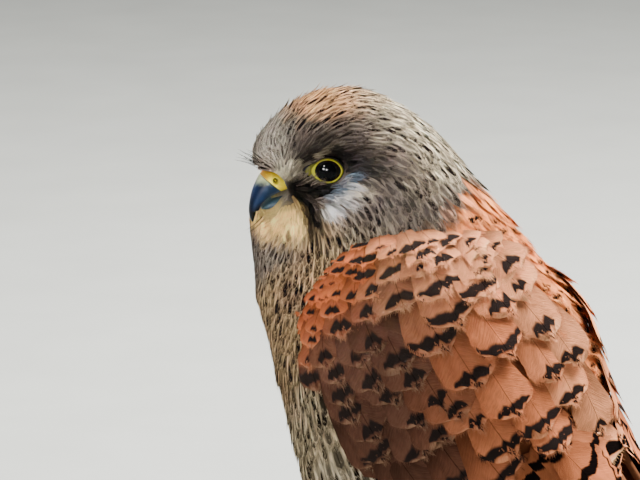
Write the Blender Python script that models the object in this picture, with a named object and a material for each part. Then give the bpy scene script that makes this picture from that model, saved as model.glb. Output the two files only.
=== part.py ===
"""A common kestrel, life size, standing on the floor and looking over its left side.

The bird faces -Y, its left side is +X and +Z is up. Lengths below are in
millimetres, and each mesh is made in metres.
"""

import math
import random
from typing import NamedTuple

import bmesh
import bpy
import numpy as np
from mathutils import Matrix, Vector

MM = 0.001
GAP = 0.3
NAME = "common_kestrel"
# How far the finished bird moves along Y, so that the origin lies under its middle.
STANDS_AT_Y = -51.3

# Stance: the head turns to the bird's left about an upright line through the neck.
HEAD_TURN = math.radians(36.0)
NECK_LINE_Y = -28.0
EYE_Y, EYE_Z = -44.0, 214.0

# Plumage outline of the untwisted bird, from the face to the root of the tail.
# Each row is one slanting section: back point y, z, belly point y, z, half width, and
# how much wider the back half is than the belly half.
BODY = (
    (-61.6, 212.4, -61.0, 199.0, 5.5, 0.00),
    (-63.6, 216.2, -62.4, 197.0, 9.4, -0.10),
    (-63.6, 220.6, -63.2, 193.5, 12.0, -0.15),
    (-60.2, 225.8, -63.8, 189.3, 14.4, -0.20),
    (-53.8, 231.2, -63.6, 184.5, 16.2, -0.20),
    (-43.5, 236.0, -63.0, 179.0, 18.0, -0.18),
    (-31.5, 236.4, -62.6, 172.5, 20.2, -0.14),
    (-20.0, 231.8, -60.6, 165.0, 23.2, -0.08),
    (-9.0, 224.4, -58.2, 155.5, 27.2, 0.00),
    (1.5, 213.5, -56.2, 144.0, 31.5, 0.05),
    (12.5, 202.0, -52.8, 131.5, 35.0, 0.08),
    (25.0, 188.5, -49.6, 119.0, 36.8, 0.10),
    (36.0, 173.0, -45.0, 106.5, 37.0, 0.10),
    (43.5, 156.5, -37.5, 95.0, 35.5, 0.10),
    (47.0, 139.5, -25.0, 85.0, 32.0, 0.10),
    (48.0, 123.5, -8.0, 78.0, 27.0, 0.06),
    (48.0, 109.5, 11.0, 74.5, 20.5, 0.03),
    (48.0, 98.5, 28.0, 76.0, 13.5, 0.00),
)
LAST = len(BODY) - 1
# Sections where the body is parted into named pieces, counted in rows of BODY.
HEAD_ENDS, NECK_ENDS = 7.6, 9.7
TURN_STARTS, TURN_ENDS = 4.5, 10.5
PART_LINE = 0.02
AROUND = 28

# Eyes: a ball set in each side of the head, under a brow.
EYE_RADIUS = 6.0
EYE_CENTRE = (10.2, -42.2, 213.8)
EYE_FORWARD, EYE_UP = 0.35, 0.03
LID_TUBE, LID_ANGLE = 0.55, math.radians(41.5)

# Bill and cere, in sections: top y, z, lower edge y, z, half width.
UPPER_BILL = (
    (-54.5, 213.2, -50.0, 207.2, 7.0),
    (-59.0, 213.2, -53.0, 206.6, 6.9),
    (-61.8, 210.8, -55.6, 205.7, 6.0),
    (-63.9, 207.0, -58.6, 204.2, 4.7),
    (-65.0, 203.2, -61.0, 202.4, 3.5),
    (-65.4, 200.2, -62.6, 200.4, 2.5),
    (-65.2, 197.9, -63.5, 198.4, 1.5),
    (-64.5, 196.2, -64.0, 196.6, 0.5),
)
CERE_ENDS = 2.0
LOWER_BILL = (
    (-50.5, 206.4, -51.0, 202.0, 6.3),
    (-54.0, 205.6, -54.2, 201.0, 5.6),
    (-57.0, 204.4, -57.2, 200.4, 4.6),
    (-59.6, 202.8, -59.6, 200.0, 3.3),
    (-61.6, 201.0, -61.6, 200.2, 1.9),
)
NOSTRIL = (5.3, -58.2, 209.8)
NOSTRIL_RADIUS = 0.75
# Where the face's feathers end round the cere (middle y, z, radius), and along the chin.
NOTCH = (-62.3, 205.0, 7.9)
CHIN_EDGE = (
    (-57.0, 203.6),
    (-58.9, 201.4),
    (-60.5, 200.0),
    (-63.0, 199.6),
    (-72.0, 199.0),
    (-72.0, 213.5),
)

# Legs: the feathered shin leaves the belly, the bare shank stands on the toes.
LEG_X = 19.0
SHIN = (
    ((17.0, -8.0, 108.0), 11.5, 15.0),
    ((18.0, -5.0, 92.0), 11.3, 14.5),
    ((18.8, 0.0, 78.0), 10.5, 12.5),
    ((19.3, 4.5, 65.0), 7.2, 8.6),
    ((19.6, 8.0, 54.0), 4.6, 5.6),
    ((19.8, 9.5, 48.0), 3.4, 4.2),
)
SHANK = (
    ((19.8, 9.6, 47.4), 2.9, 3.6),
    ((19.9, 9.2, 43.5), 3.0, 3.7),
    ((20.0, 7.6, 37.0), 2.2, 2.8),
    ((20.1, 4.6, 24.0), 2.1, 2.6),
    ((20.2, 2.4, 13.0), 2.4, 2.9),
    ((20.2, 1.6, 8.6), 2.9, 3.2),
)
FOOT_TOP = (20.2, 1.3, 6.9)
# Ball of the foot: offset from its top in y and z, half width and half depth.
FOOT_BALL = (
    (0.0, 1.35, 2.7, 3.0),
    (0.0, 0.2, 3.6, 3.9),
    (-0.2, -2.6, 4.0, 4.3),
    (-0.2, -5.4, 3.6, 3.8),
    (-0.2, -7.9, 2.4, 2.6),
)
# Toes: heading in degrees from straight ahead towards the outside, length, root radius.
TOES = {
    "inner": (-27.0, 17.5, 2.45),
    "middle": (3.0, 26.5, 2.35),
    "outer": (36.0, 19.5, 2.2),
    "hind": (186.0, 13.0, 2.4),
}
TOE_HEIGHT = 1.75
CLAW_LENGTH = {"inner": 10.0, "middle": 9.5, "outer": 8.5, "hind": 10.5}
CLAW_RADIUS = 1.35

# Folded wing: a curved sheet from the wrist to the tip. The first rows lie on the body
# (row of BODY, degrees from the back line, height above the plumage), lower edge first.
WING_ON_BODY = (
    ((8.65, 114.0, 2.8), (8.75, 82.0, 3.2), (9.4, 50.0, 2.2), (10.2, 24.0, 0.6)),
    ((10.1, 122.0, 4.2), (10.2, 88.0, 5.4), (10.7, 52.0, 4.2), (11.2, 15.0, 2.2)),
    ((12.4, 118.0, 3.6), (12.2, 86.0, 7.2), (12.3, 52.0, 6.6), (12.6, 9.0, 5.0)),
    ((14.5, 113.0, 5.0), (14.0, 80.0, 8.5), (13.7, 48.0, 8.5), (13.9, 6.5, 6.2)),
)
WING_FREE = (
    ((32.5, 38.0, 81.0), (35.0, 43.0, 96.0), (26.0, 54.0, 113.0), (4.6, 61.5, 125.0)),
    ((27.0, 70.0, 63.0), (28.0, 75.0, 74.0), (20.0, 82.0, 86.0), (4.2, 86.5, 93.5)),
    ((21.0, 103.0, 44.0), (19.0, 107.0, 51.0), (13.0, 111.5, 57.0), (4.0, 114.0, 60.5)),
    ((15.5, 139.0, 26.0), (12.8, 141.0, 29.4), (8.4, 142.5, 32.0), (3.4, 143.5, 33.5)),
)
WING_PAD = (0.0, 0.64)
PAD_DEPTH = (11.0, 3.0)
VANE = 0.6


class Tier(NamedTuple):
    """One row of feathers on the wing's sheet, from its first feather to its last.

    root and tip are ((s, h), (s, h)) places on the sheet, width, lift, sink and the
    vane's extra thickness deep are millimetres, pitch is the spacing of its cross
    lines along the sheet, blunt its width at the tip and roll its slope across.
    """

    count: int
    root: tuple
    tip: tuple
    width: tuple
    lift: tuple
    sink: float
    pitch: float
    blunt: float
    roll: float
    deep: float


# Flight feathers, then the rows of coverts, then the shoulder feathers over them.
TIERS = (
    Tier(8, ((0.44, 0.10), (0.44, 0.40)), ((0.995, 0.30), (0.68, 0.62)),
         (11, 15), (-1.4, 1.4), 1.0, 0.12, 0.3, 0.03, 0.0),
    Tier(5, ((0.44, 0.42), (0.42, 0.86)), ((0.655, 0.58), (0.60, 0.86)),
         (18, 17), (1.8, 1.6), 2.5, 0.10, 0.4, 0.10, 0.0),
    Tier(6, ((0.32, 0.06), (0.32, 0.86)), ((0.475, 0.10), (0.43, 0.86)),
         (19, 19), (1.0, 1.6), 1.0, 0.10, 0.4, 0.10, 1.6),
    Tier(5, ((0.19, 0.10), (0.21, 0.80)), ((0.335, 0.12), (0.32, 0.80)),
         (20, 19), (1.4, 2.0), 1.0, 0.10, 0.4, 0.10, 1.8),
    Tier(3, ((0.28, 0.64), (0.28, 0.94)), ((0.43, 0.70), (0.41, 0.95)),
         (17, 16), (2.0, 2.2), 1.0, 0.10, 0.4, 0.10, 2.2),
    Tier(3, ((0.15, 0.58), (0.15, 0.95)), ((0.30, 0.64), (0.28, 0.96)),
         (18, 17), (2.4, 2.2), 1.0, 0.10, 0.4, 0.10, 2.4),
    Tier(4, ((0.03, 0.36), (0.03, 0.92)), ((0.17, 0.46), (0.16, 0.93)),
         (18, 17), (2.4, 1.8), 1.0, 0.10, 0.4, 0.10, 2.4),
)

# Tail: from its root under the rump to the tip, which lies on the floor.
TAIL_ROOT = (0.0, 42.0, 84.0)
TAIL_BEND = (0.0, 95.0, 44.0)
TAIL_TIP = (0.0, 166.0, 1.2)
TAIL_PAIRS = 6
TAIL_LAYER = 0.7
FEATHER_WIDTH = 19.0


def through(rows, where):
    """Smooth curve (Catmull-Rom) through the rows, read at where, counted in rows."""
    rows = np.asarray(rows, float)
    where = np.clip(np.atleast_1d(np.asarray(where, float)), 0, len(rows) - 1)
    first = np.minimum(where.astype(int), len(rows) - 2)
    f = (where - first)[:, None]
    wide = np.vstack([2 * rows[0] - rows[1], rows, 2 * rows[-1] - rows[-2]])
    a, b, c, d = (wide[first + i] for i in range(4))
    return b + 0.5 * f * (c - a + f * (2 * a - 5 * b + 4 * c - d + f * (3 * (b - c) + d - a)))


def smooth(value):
    """Eases from 0 to 1 as value goes from 0 to 1."""
    value = np.clip(value, 0.0, 1.0)
    return value * value * (3 - 2 * value)


def bell(distance, width):
    """A soft hump of height 1 at no distance."""
    return np.exp(-((distance / width) ** 2))


def turned(points, row):
    """Turns points of the untwisted bird with the neck, by their row of BODY."""
    angle = HEAD_TURN * (1 - smooth((row - TURN_STARTS) / (TURN_ENDS - TURN_STARTS)))
    cosine, sine = np.cos(angle), np.sin(angle)
    x, y = points[..., 0], points[..., 1] - NECK_LINE_Y
    return np.stack(
        [x * cosine - y * sine, x * sine + y * cosine + NECK_LINE_Y, points[..., 2]], axis=-1
    )


def face_form(points):
    """Carves the brow, the eye hollow, the narrow lores and the cheek into the head."""
    x, y, z = points[..., 0], points[..., 1], points[..., 2]
    side = np.tanh(x / 4.0)
    ahead, above = EYE_Y - y, z - EYE_Z
    brow = bell(ahead - 1.5, 8.5) * bell(above - 6.4 + 0.12 * ahead, 2.4)
    hollow = np.exp(-(((ahead - 0.5) ** 2 + (1.15 * above) ** 2) / 54.0) ** 2)
    taper = smooth((ahead + 1.0) / 14.0) * bell(above + 5.0, 9.5)
    cheek = bell(ahead + 3.0, 9.0) * bell(above + 12.0, 6.0)
    x = x * (1 - 0.60 * taper) + side * (1.3 * brow - 2.9 * hollow + 0.8 * cheek)
    return np.stack([x, y, z], axis=-1)


def body_points(row, around, out=0.0):
    """Points of the plumage, row counted in rows of BODY and around in radians.

    out moves them off the surface, outwards.
    """
    row, around = np.broadcast_arrays(np.asarray(row, float), np.asarray(around, float))
    if np.any(out):
        step = 0.02
        along = body_points(row + step, around) - body_points(row - step, around)
        across = body_points(row, around + step) - body_points(row, around - step)
        normal = np.cross(across, along)
        normal /= np.linalg.norm(normal, axis=-1, keepdims=True) + 1e-9
        return body_points(row, around) + normal * np.asarray(out)[..., None]
    section = through(BODY, row.ravel()).reshape(row.shape + (6,))
    back, belly = section[..., 0:2], section[..., 2:4]
    width, wider = section[..., 4], section[..., 5]
    centre, half = (back + belly) / 2, (back - belly) / 2
    cosine, sine = np.cos(around), np.sin(around)
    x = width * sine * (1 + wider * cosine)
    yz = centre + half * cosine[..., None]
    points = np.concatenate([x[..., None], yz], axis=-1)
    return turned(face_form(points), row)


def in_head(point):
    """A place given for the untwisted head, in its place on the turned head."""
    return turned(np.asarray(point, float), np.asarray(0.0))


def mesh_object(name, points, faces, material=None):
    """A mesh object from points in millimetres."""
    mesh = bpy.data.meshes.new(name)
    mesh.from_pydata([Vector(p) * MM for p in np.asarray(points, float)], [], faces)
    mesh.validate()
    shape = bmesh.new()
    shape.from_mesh(mesh)
    bmesh.ops.recalc_face_normals(shape, faces=shape.faces)
    bmesh.ops.triangulate(shape, faces=shape.faces)
    shape.to_mesh(mesh)
    shape.free()
    obj = bpy.data.objects.new(name, mesh)
    bpy.context.scene.collection.objects.link(obj)
    if material:
        mesh.materials.append(material)
    return obj


def loft(name, rings, material=None, start=None, end=None):
    """A closed skin over rings of equal count, each closed with a point at its middle."""
    rings = np.asarray(rings, float)
    count, around = rings.shape[:2]
    points = list(rings.reshape(-1, 3))
    points.append(rings[0].mean(axis=0) if start is None else start)
    points.append(rings[-1].mean(axis=0) if end is None else end)
    faces = []
    for i in range(count - 1):
        for j in range(around):
            k = (j + 1) % around
            faces.append((i * around + j, i * around + k, (i + 1) * around + k, (i + 1) * around + j))
    for j in range(around):
        k = (j + 1) % around
        faces.append((count * around, k, j))
        faces.append((count * around + 1, (count - 1) * around + j, (count - 1) * around + k))
    return mesh_object(name, points, faces, material)


def body_piece(name, first, last, rings, material, out=0.0):
    """The stretch of the body between two rows of BODY, as a closed solid."""
    row, around = np.meshgrid(
        np.linspace(first, last, rings), np.linspace(0, math.tau, AROUND, endpoint=False), indexing="ij"
    )
    return loft(name, body_points(row, around, out), material)


def ellipse_loft(name, rows, sides, material=None):
    """A limb through rows of centre, half width across X and half depth, level rings."""
    rings = []
    for centre, across, deep in rows:
        turn = np.linspace(0, math.tau, sides, endpoint=False)
        ring = np.stack([across * np.cos(turn), deep * np.sin(turn), 0 * turn], axis=-1)
        rings.append(ring + np.asarray(centre))
    return loft(name, rings, material)


def profile_rows(rows, first, last, count):
    """Smooth rows of a bill table between two of its rows."""
    return through(rows, np.linspace(first, last, count))


def profile_loft(name, rows, sides, material=None, grow=0.0, blunt=0.85):
    """A bill piece from rows of top and lower points and half width, turned with the head.

    grow makes it that much bigger all round, for the bed it lies in.
    """
    rows = np.array(rows, float)
    if grow:
        back = rows[0] + (rows[0] - rows[1]) / np.linalg.norm((rows[0] - rows[1])[:2]) * grow
        rows = np.vstack([back, rows])
    rings = []
    for top_y, top_z, low_y, low_z, width in rows:
        turn = np.linspace(0, math.tau, sides, endpoint=False)
        centre = np.array([(top_y + low_y) / 2, (top_z + low_z) / 2])
        half = np.array([(top_y - low_y) / 2, (top_z - low_z) / 2])
        half *= 1 + grow / (np.linalg.norm(half) + 1e-9)
        cosine, sine = np.cos(turn), np.sin(turn)
        bulge = np.sign(sine) * np.abs(sine) ** blunt
        yz = centre + cosine[:, None] * half
        rings.append(np.concatenate([((width + grow) * bulge)[:, None], yz], axis=-1))
    return loft(name, in_head(np.array(rings)), material)


def combined(obj, others, operation, solver="EXACT"):
    """Applies one Boolean between obj and the other closed objects, which it removes."""
    if not others:
        return obj
    pile = bpy.data.collections.new("cutters")
    bpy.context.scene.collection.children.link(pile)
    for other in others:
        for holder in list(other.users_collection):
            holder.objects.unlink(other)
        pile.objects.link(other)
    boolean = obj.modifiers.new("joined", "BOOLEAN")
    boolean.operation = operation
    boolean.operand_type = "COLLECTION"
    boolean.collection = pile
    boolean.solver = solver
    graph = bpy.context.evaluated_depsgraph_get()
    made = bpy.data.meshes.new_from_object(obj.evaluated_get(graph))
    obj.modifiers.clear()
    obj.data = made
    for other in others:
        bpy.data.objects.remove(other)
    bpy.data.collections.remove(pile)
    return obj


def keep_largest(obj):
    """Keeps the largest closed surface, which fills sealed hollows and drops scraps."""
    shape = bmesh.new()
    shape.from_mesh(obj.data)
    bmesh.ops.triangulate(shape, faces=shape.faces)
    unseen = set(shape.faces)
    shells = []
    while unseen:
        front = [unseen.pop()]
        shell = list(front)
        while front:
            face = front.pop()
            for edge in face.edges:
                for other in edge.link_faces:
                    if other in unseen:
                        unseen.remove(other)
                        front.append(other)
                        shell.append(other)
        shells.append(shell)

    def volume(shell):
        total = 0.0
        for face in shell:
            a, b, c = (vert.co for vert in face.verts)
            total += a.dot(b.cross(c)) / 6
        return total

    shells.sort(key=volume, reverse=True)
    for shell in shells[1:]:
        bmesh.ops.delete(shape, geom=shell, context="FACES")
    shape.to_mesh(obj.data)
    shape.free()
    return obj


def finish_shading(obj, angle=50.0):
    """Smooth shading with sharp edges kept."""
    obj.data.shade_smooth()
    obj.data.set_sharp_from_angle(angle=math.radians(angle))


def material(name, colour, roughness, metallic=0.0):
    """A plain Principled finish."""
    made = bpy.data.materials.new(name)
    made.use_nodes = True
    shader = made.node_tree.nodes["Principled BSDF"]
    shader.inputs["Base Color"].default_value = (*colour, 1.0)
    shader.inputs["Roughness"].default_value = roughness
    shader.inputs["Metallic"].default_value = metallic
    return made


def ball(name, centre, radius, segments, rings, finish=None):
    """A sphere with its poles up and down."""
    bpy.ops.mesh.primitive_uv_sphere_add(
        segments=segments, ring_count=rings, radius=radius * MM, location=Vector(centre) * MM
    )
    obj = bpy.context.object
    obj.name = name
    obj.data.transform(obj.matrix_world)
    obj.matrix_world = Matrix.Identity(4)
    if finish:
        obj.data.materials.append(finish)
    return obj


def eye_axis(side):
    """The way an eye looks, on the turned head, as a unit vector."""
    ahead = np.array([side, -EYE_FORWARD, EYE_UP])
    tip = in_head(np.array([0.0, NECK_LINE_Y, 0.0]) + ahead) - in_head([0.0, NECK_LINE_Y, 0.0])
    return tip / np.linalg.norm(tip)


def eye_centre(side):
    """The middle of an eyeball on the turned head."""
    return in_head([side * EYE_CENTRE[0], EYE_CENTRE[1], EYE_CENTRE[2]])


def lid_ring(name, side):
    """The bare ring of skin round the eye, a torus that rests against the ball."""
    axis = Vector(eye_axis(side))
    reach = EYE_RADIUS + GAP + LID_TUBE * 0.75
    bpy.ops.mesh.primitive_torus_add(
        major_segments=20,
        minor_segments=5,
        major_radius=reach * math.sin(LID_ANGLE) * MM,
        minor_radius=LID_TUBE * MM,
        location=(Vector(eye_centre(side)) + axis * reach * math.cos(LID_ANGLE)) * MM,
        rotation=axis.to_track_quat("Z", "Y").to_euler(),
    )
    obj = bpy.context.object
    obj.name = name
    obj.data.transform(obj.matrix_world)
    obj.matrix_world = Matrix.Identity(4)
    return obj


def bill_notch():
    """A block across the face, rounded where the feathers end against the cere."""
    y, z, radius = NOTCH
    edge = [
        (y + radius * math.cos(turn), z + radius * math.sin(turn))
        for turn in np.radians(np.linspace(100, 5, 11))
    ]
    edge += list(CHIN_EDGE)
    points = [in_head([x, a, b]) for x in (-25.0, 25.0) for a, b in edge]
    count = len(edge)
    faces = [tuple(range(count)), tuple(range(2 * count - 1, count - 1, -1))]
    for i in range(count):
        k = (i + 1) % count
        faces.append((i, i + count, k + count, k))
    return mesh_object("notch", points, faces)


def make_head(finish):
    """Head solid with the lids on it, the eye sockets, and the bed of the bill."""
    head = body_piece("head", 0.0, HEAD_ENDS - PART_LINE, 19, finish)
    lids = [lid_ring("lid", side) for side in (-1, 1)]
    combined(head, lids, "UNION")
    cutters = [ball("socket", eye_centre(side), EYE_RADIUS + GAP, 18, 12) for side in (-1, 1)]
    cutters.append(profile_loft("bed", profile_rows(UPPER_BILL, 0, CERE_ENDS + 2, 12), 20, grow=GAP))
    cutters.append(profile_loft("bed", profile_rows(LOWER_BILL, 0, 3.6, 8), 16, grow=GAP))
    combined(head, cutters, "DIFFERENCE")
    combined(head, [bill_notch()], "DIFFERENCE")
    keep_largest(head)
    finish_shading(head)


def make_eyes(finish):
    """Both eyeballs."""
    for name, side in (("eye_left", 1), ("eye_right", -1)):
        finish_shading(ball(name, eye_centre(side), EYE_RADIUS, 14, 9, finish), 180)


def make_bill(horn, wax):
    """Cere with its nostrils, hooked upper bill and lower bill."""
    last = len(UPPER_BILL) - 1
    cere = profile_loft("cere", profile_rows(UPPER_BILL, 0, CERE_ENDS, 7), 20, wax)
    holes = []
    for side in (-1, 1):
        place = Vector(in_head([side * NOSTRIL[0], NOSTRIL[1], NOSTRIL[2]]))
        bpy.ops.mesh.primitive_cylinder_add(
            vertices=12,
            radius=NOSTRIL_RADIUS * MM,
            depth=4.0 * MM,
            location=place * MM,
            rotation=Vector(eye_axis(side)).to_track_quat("Z", "Y").to_euler(),
        )
        holes.append(bpy.context.object)
    combined(cere, holes, "DIFFERENCE")
    keep_largest(cere)
    upper = profile_loft("upper_bill", profile_rows(UPPER_BILL, CERE_ENDS + 0.09, last, 11), 20, horn)
    lower = profile_loft("lower_bill", profile_rows(LOWER_BILL, 0, len(LOWER_BILL) - 1, 8), 16, horn)
    bed = profile_loft("bed", profile_rows(UPPER_BILL, 0, last, 17), 20, grow=GAP)
    combined(lower, [bed], "DIFFERENCE")
    keep_largest(lower)
    for piece in (cere, upper, lower):
        finish_shading(piece)


def wing_rows():
    """Control rows of the left wing's sheet, lower edge first, in millimetres."""
    rows = []
    for row in WING_ON_BODY:
        spots = np.array(row)
        rows.append(body_points(spots[:, 0], np.radians(spots[:, 1]), spots[:, 2]))
    return np.array(rows + [np.array(row) for row in WING_FREE])


class Sheet:
    """A smooth sheet through a grid of control points, read at (s, h) from 0 to 1."""

    def __init__(self, rows):
        self.rows = np.asarray(rows, float)

    def at(self, s, h):
        """Points at s along and h across, arrays of one shape."""
        s, h = np.broadcast_arrays(np.asarray(s, float), np.asarray(h, float))
        count, wide = self.rows.shape[:2]
        lines = through(self.rows.reshape(count, -1), s.ravel() * (count - 1)).reshape(-1, wide, 3)
        place = h.ravel() * (wide - 1)
        first = np.clip(place.astype(int), 0, wide - 2)
        f = (place - first)[:, None]
        ahead, after = 2 * lines[:, 0] - lines[:, 1], 2 * lines[:, -1] - lines[:, -2]
        lines = np.concatenate([ahead[:, None], lines, after[:, None]], axis=1)
        spot = np.arange(len(first))
        a, b, c, d = (lines[spot, first + i] for i in range(4))
        curve = b + 0.5 * f * (c - a + f * (2 * a - 5 * b + 4 * c - d + f * (3 * (b - c) + d - a)))
        made = np.where(f < 0, b + (c - b) * f, np.where(f > 1, c + (c - b) * (f - 1), curve))
        return made.reshape(s.shape + (3,))

    def normal(self, s, h):
        """Unit normals that point away from the body."""
        step = 0.01
        s, h = np.broadcast_arrays(np.asarray(s, float), np.asarray(h, float))
        low, high = np.clip(s - step, 0, 1), np.clip(s + step, 0, 1)
        along = self.at(high, h) - self.at(low, h)
        across = self.at(s, h + step) - self.at(s, h - step)
        made = np.cross(along, across)
        return made / (np.linalg.norm(made, axis=-1, keepdims=True) + 1e-9)


def stations(first, last, pitch):
    """Places along a feather: shared ones, so that neighbours bend alike, and two at its tip."""
    near = last - 0.3 * pitch
    shared = [i * pitch for i in range(1, int(1 / pitch) + 1)]
    inner = [s for s in shared if first + 0.35 * pitch < s < near - 0.35 * pitch]
    return np.array([first, *inner, near, last])


def vane(sheet, root, tip, width, lift, tier):
    """One feather as a thin closed solid that lies over the sheet.

    root and tip are (s, h) places, lift is the height of its free part, and tier holds
    what it shares with its row. roll raises its lower edge, like a tile over the next.
    """
    s = stations(root[0], tip[0], tier.pitch)
    q = (s - root[0]) / (tip[0] - root[0])
    h = root[1] + (tip[1] - root[1]) * q
    middle, normal = sheet.at(s, h), sheet.normal(s, h)
    along = np.gradient(middle, axis=0)
    along /= np.linalg.norm(along, axis=1, keepdims=True)
    side = np.cross(normal, along)
    side /= np.linalg.norm(side, axis=1, keepdims=True)
    rise = -tier.sink + (lift + tier.sink) * smooth(q / 0.35)
    bend = 0.66
    round_tip = np.sqrt(np.clip(1 - ((q - bend) / (1 - bend)) ** 2, 0, 1))
    half = width / 2 * np.where(q < bend, 0.6 + 0.4 * smooth(q / 0.4), np.maximum(round_tip, tier.blunt))
    middle = middle + normal * rise[:, None]
    rings = []
    for i in range(len(q)):
        edge = side[i] * half[i] - normal[i] * tier.roll * half[i]
        down = normal[i] * (VANE + tier.deep)
        rings.append([middle[i] - edge, middle[i] + edge, middle[i] + edge - down, middle[i] - edge - down])
    points, around = np.array(rings).reshape(-1, 3), len(rings[0])
    # Both faces are split alike along the same diagonals, so that the sheet stays even.
    faces = []
    for i in range(len(q) - 1):
        for j in range(around):
            k = (j + 1) % around
            a, b, c, d = i * around + j, i * around + k, (i + 1) * around + k, (i + 1) * around + j
            if j == 2:
                faces += [(a, d, b), (d, c, b)]
            else:
                faces += [(a, c, b), (a, d, c)]
    for base in (0, (len(q) - 1) * around):
        faces.append(tuple(range(base, base + around)))
    return mesh_object("vane", points, faces)


def pad(sheet, first, last, depths, along=9, across=6):
    """The flesh and small feathers under a sheet: a pillow with thinner edges.

    depths are its thickness at its first and its last row.
    """
    s, h = np.meshgrid(np.linspace(first, last, along), np.linspace(0, 1, across), indexing="ij")
    top, normal = sheet.at(s, h), sheet.normal(s, h)
    q = smooth((s - first) / (last - first))
    thick = (depths[0] + (depths[1] - depths[0]) * q) * np.minimum(1.0, 4.0 * h * (1 - h) + 0.45)
    lower = top - normal * thick[..., None]
    rings = [np.concatenate([top[i], lower[i][::-1]]) for i in range(along)]
    return loft("pad", rings)


def wing_feathers(sheet):
    """The left wing's feathers in tiers, from the longest up to the shoulder."""
    chance = random.Random(7)
    made = []
    for tier in TIERS:
        root, tip = np.array(tier.root), np.array(tier.tip)
        for q in np.linspace(0, 1, tier.count):
            jitter = (chance.uniform(-0.004, 0.004), chance.uniform(-0.006, 0.006))
            end = tip[0] + (tip[1] - tip[0]) * q + jitter
            width = np.interp(q, (0, 1), tier.width) * chance.uniform(0.97, 1.03)
            lift = np.interp(q, (0, 1), tier.lift) + chance.uniform(-0.05, 0.05)
            start = root[0] + (root[1] - root[0]) * q
            made.append(vane(sheet, start, end, width, lift, tier))
    return made


def make_wings(finish):
    """Both folded wings, each cut to lie on the body."""
    sheet = Sheet(wing_rows())
    left = pad(sheet, WING_PAD[0], WING_PAD[1], PAD_DEPTH)
    left.name = "wing_left"
    left.data.materials.append(finish)
    combined(left, wing_feathers(sheet), "UNION", "MANIFOLD")
    keep_largest(left)
    for wing in (left, mirrored(left, "wing_right")):
        combined(wing, [body_core()], "DIFFERENCE", "MANIFOLD")
        keep_largest(wing)
        finish_shading(wing, 35)


def body_core():
    """The neck and torso in one, grown by the gap, to cut what lies on them."""
    return body_piece("core", 6.0, LAST, 26, None, out=GAP)


def mirrored(obj, name):
    """A copy of obj on the bird's other side, with its own mesh."""
    copy = obj.copy()
    copy.data = obj.data.copy()
    copy.name = name
    shape = bmesh.new()
    shape.from_mesh(copy.data)
    for vert in shape.verts:
        vert.co.x = -vert.co.x
    bmesh.ops.reverse_faces(shape, faces=shape.faces)
    shape.to_mesh(copy.data)
    shape.free()
    bpy.context.scene.collection.objects.link(copy)
    return copy


def tail_sheet():
    """The sheet on which the tail feathers lie, from root to tip, right side first."""
    q = np.linspace(0, 1, 6)[:, None]
    root, bend, tip = (np.array(p) for p in (TAIL_ROOT, TAIL_BEND, TAIL_TIP))
    line = (1 - q) ** 2 * root + 2 * q * (1 - q) * bend + q * q * tip
    rows = []
    for place, centre in zip(q[:, 0], line):
        half = 9.0 + 8.0 * place
        sag = 2.0 - 0.8 * place
        rows.append([centre + np.array([x * half, 0, -sag * x * x]) for x in (1.0, 0.33, -0.33, -1.0)])
    return Sheet(rows)


def floor_block():
    """Everything below the floor, for cutting flats."""
    bpy.ops.mesh.primitive_cube_add(size=0.6, location=(0, 0, -0.3))
    return bpy.context.object


def make_tail(finish):
    """The closed tail: a root wedge, twelve feathers in layers and their coverts."""
    sheet = tail_sheet()
    tail = pad(sheet, 0.0, 0.30, (9.0, 6.0), along=5, across=5)
    tail.name = "tail"
    tail.data.materials.append(finish)
    pieces = []
    for pair in range(TAIL_PAIRS):
        depth = -TAIL_LAYER * pair
        for side in (-1, 1):
            end = 0.5 + side * (0.05 + 0.075 * pair)
            start = 0.5 + side * (0.05 + 0.03 * pair)
            lift = depth - 0.35 * (side > 0)
            tip = (1.0 - 0.009 * pair, end)
            row = Tier(2, (0.04, start), tip, FEATHER_WIDTH, lift, 2.0 - depth, 0.25, 0.5, 0.0, 0.2)
            pieces.append(vane(sheet, row.root, row.tip, row.width, row.lift, row))
    combined(tail, pieces, "UNION", "MANIFOLD")
    combined(tail, [body_core(), floor_block()], "DIFFERENCE", "MANIFOLD")
    keep_largest(tail)
    finish_shading(tail, 35)


def make_legs(flesh, scales, horn):
    """Both legs: feathered shin, bare shank, foot with its toes, and the claws."""
    for name, side in (("left", 1), ("right", -1)):
        flip = np.array([side, 1, 1])
        shin = ellipse_loft("shin_" + name, [(np.array(c) * flip, a, d) for c, a, d in SHIN], 18, flesh)
        combined(shin, [body_core()], "DIFFERENCE")
        keep_largest(shin)
        finish_shading(shin, 60)
        shank = ellipse_loft("shank_" + name, [(np.array(c) * flip, a, d) for c, a, d in SHANK], 14, scales)
        finish_shading(shank, 60)
        make_foot(name, flip, scales, horn)


def make_foot(name, flip, scales, horn):
    """One foot: the toes joined at the ball, flat underneath, with a claw on each."""
    top = np.array(FOOT_TOP) * flip
    ball_rows = [(top + (0, y, z), across, deep) for y, z, across, deep in FOOT_BALL]
    foot = ellipse_loft("foot_" + name, ball_rows, 12, scales)
    toes = []
    for toe, (heading, length, radius) in TOES.items():
        angle = math.radians(heading)
        way = np.array([math.sin(angle) * flip[0], -math.cos(angle), 0.0])
        toes.append(toe_solid(top, way, length, radius))
        claw_solid(f"claw_{name}_{toe}", top + way * (length + 2.2), way, CLAW_LENGTH[toe], radius, horn)
    combined(foot, toes, "UNION")
    combined(foot, [floor_block()], "DIFFERENCE")
    keep_largest(foot)
    finish_shading(foot, 60)


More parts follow.
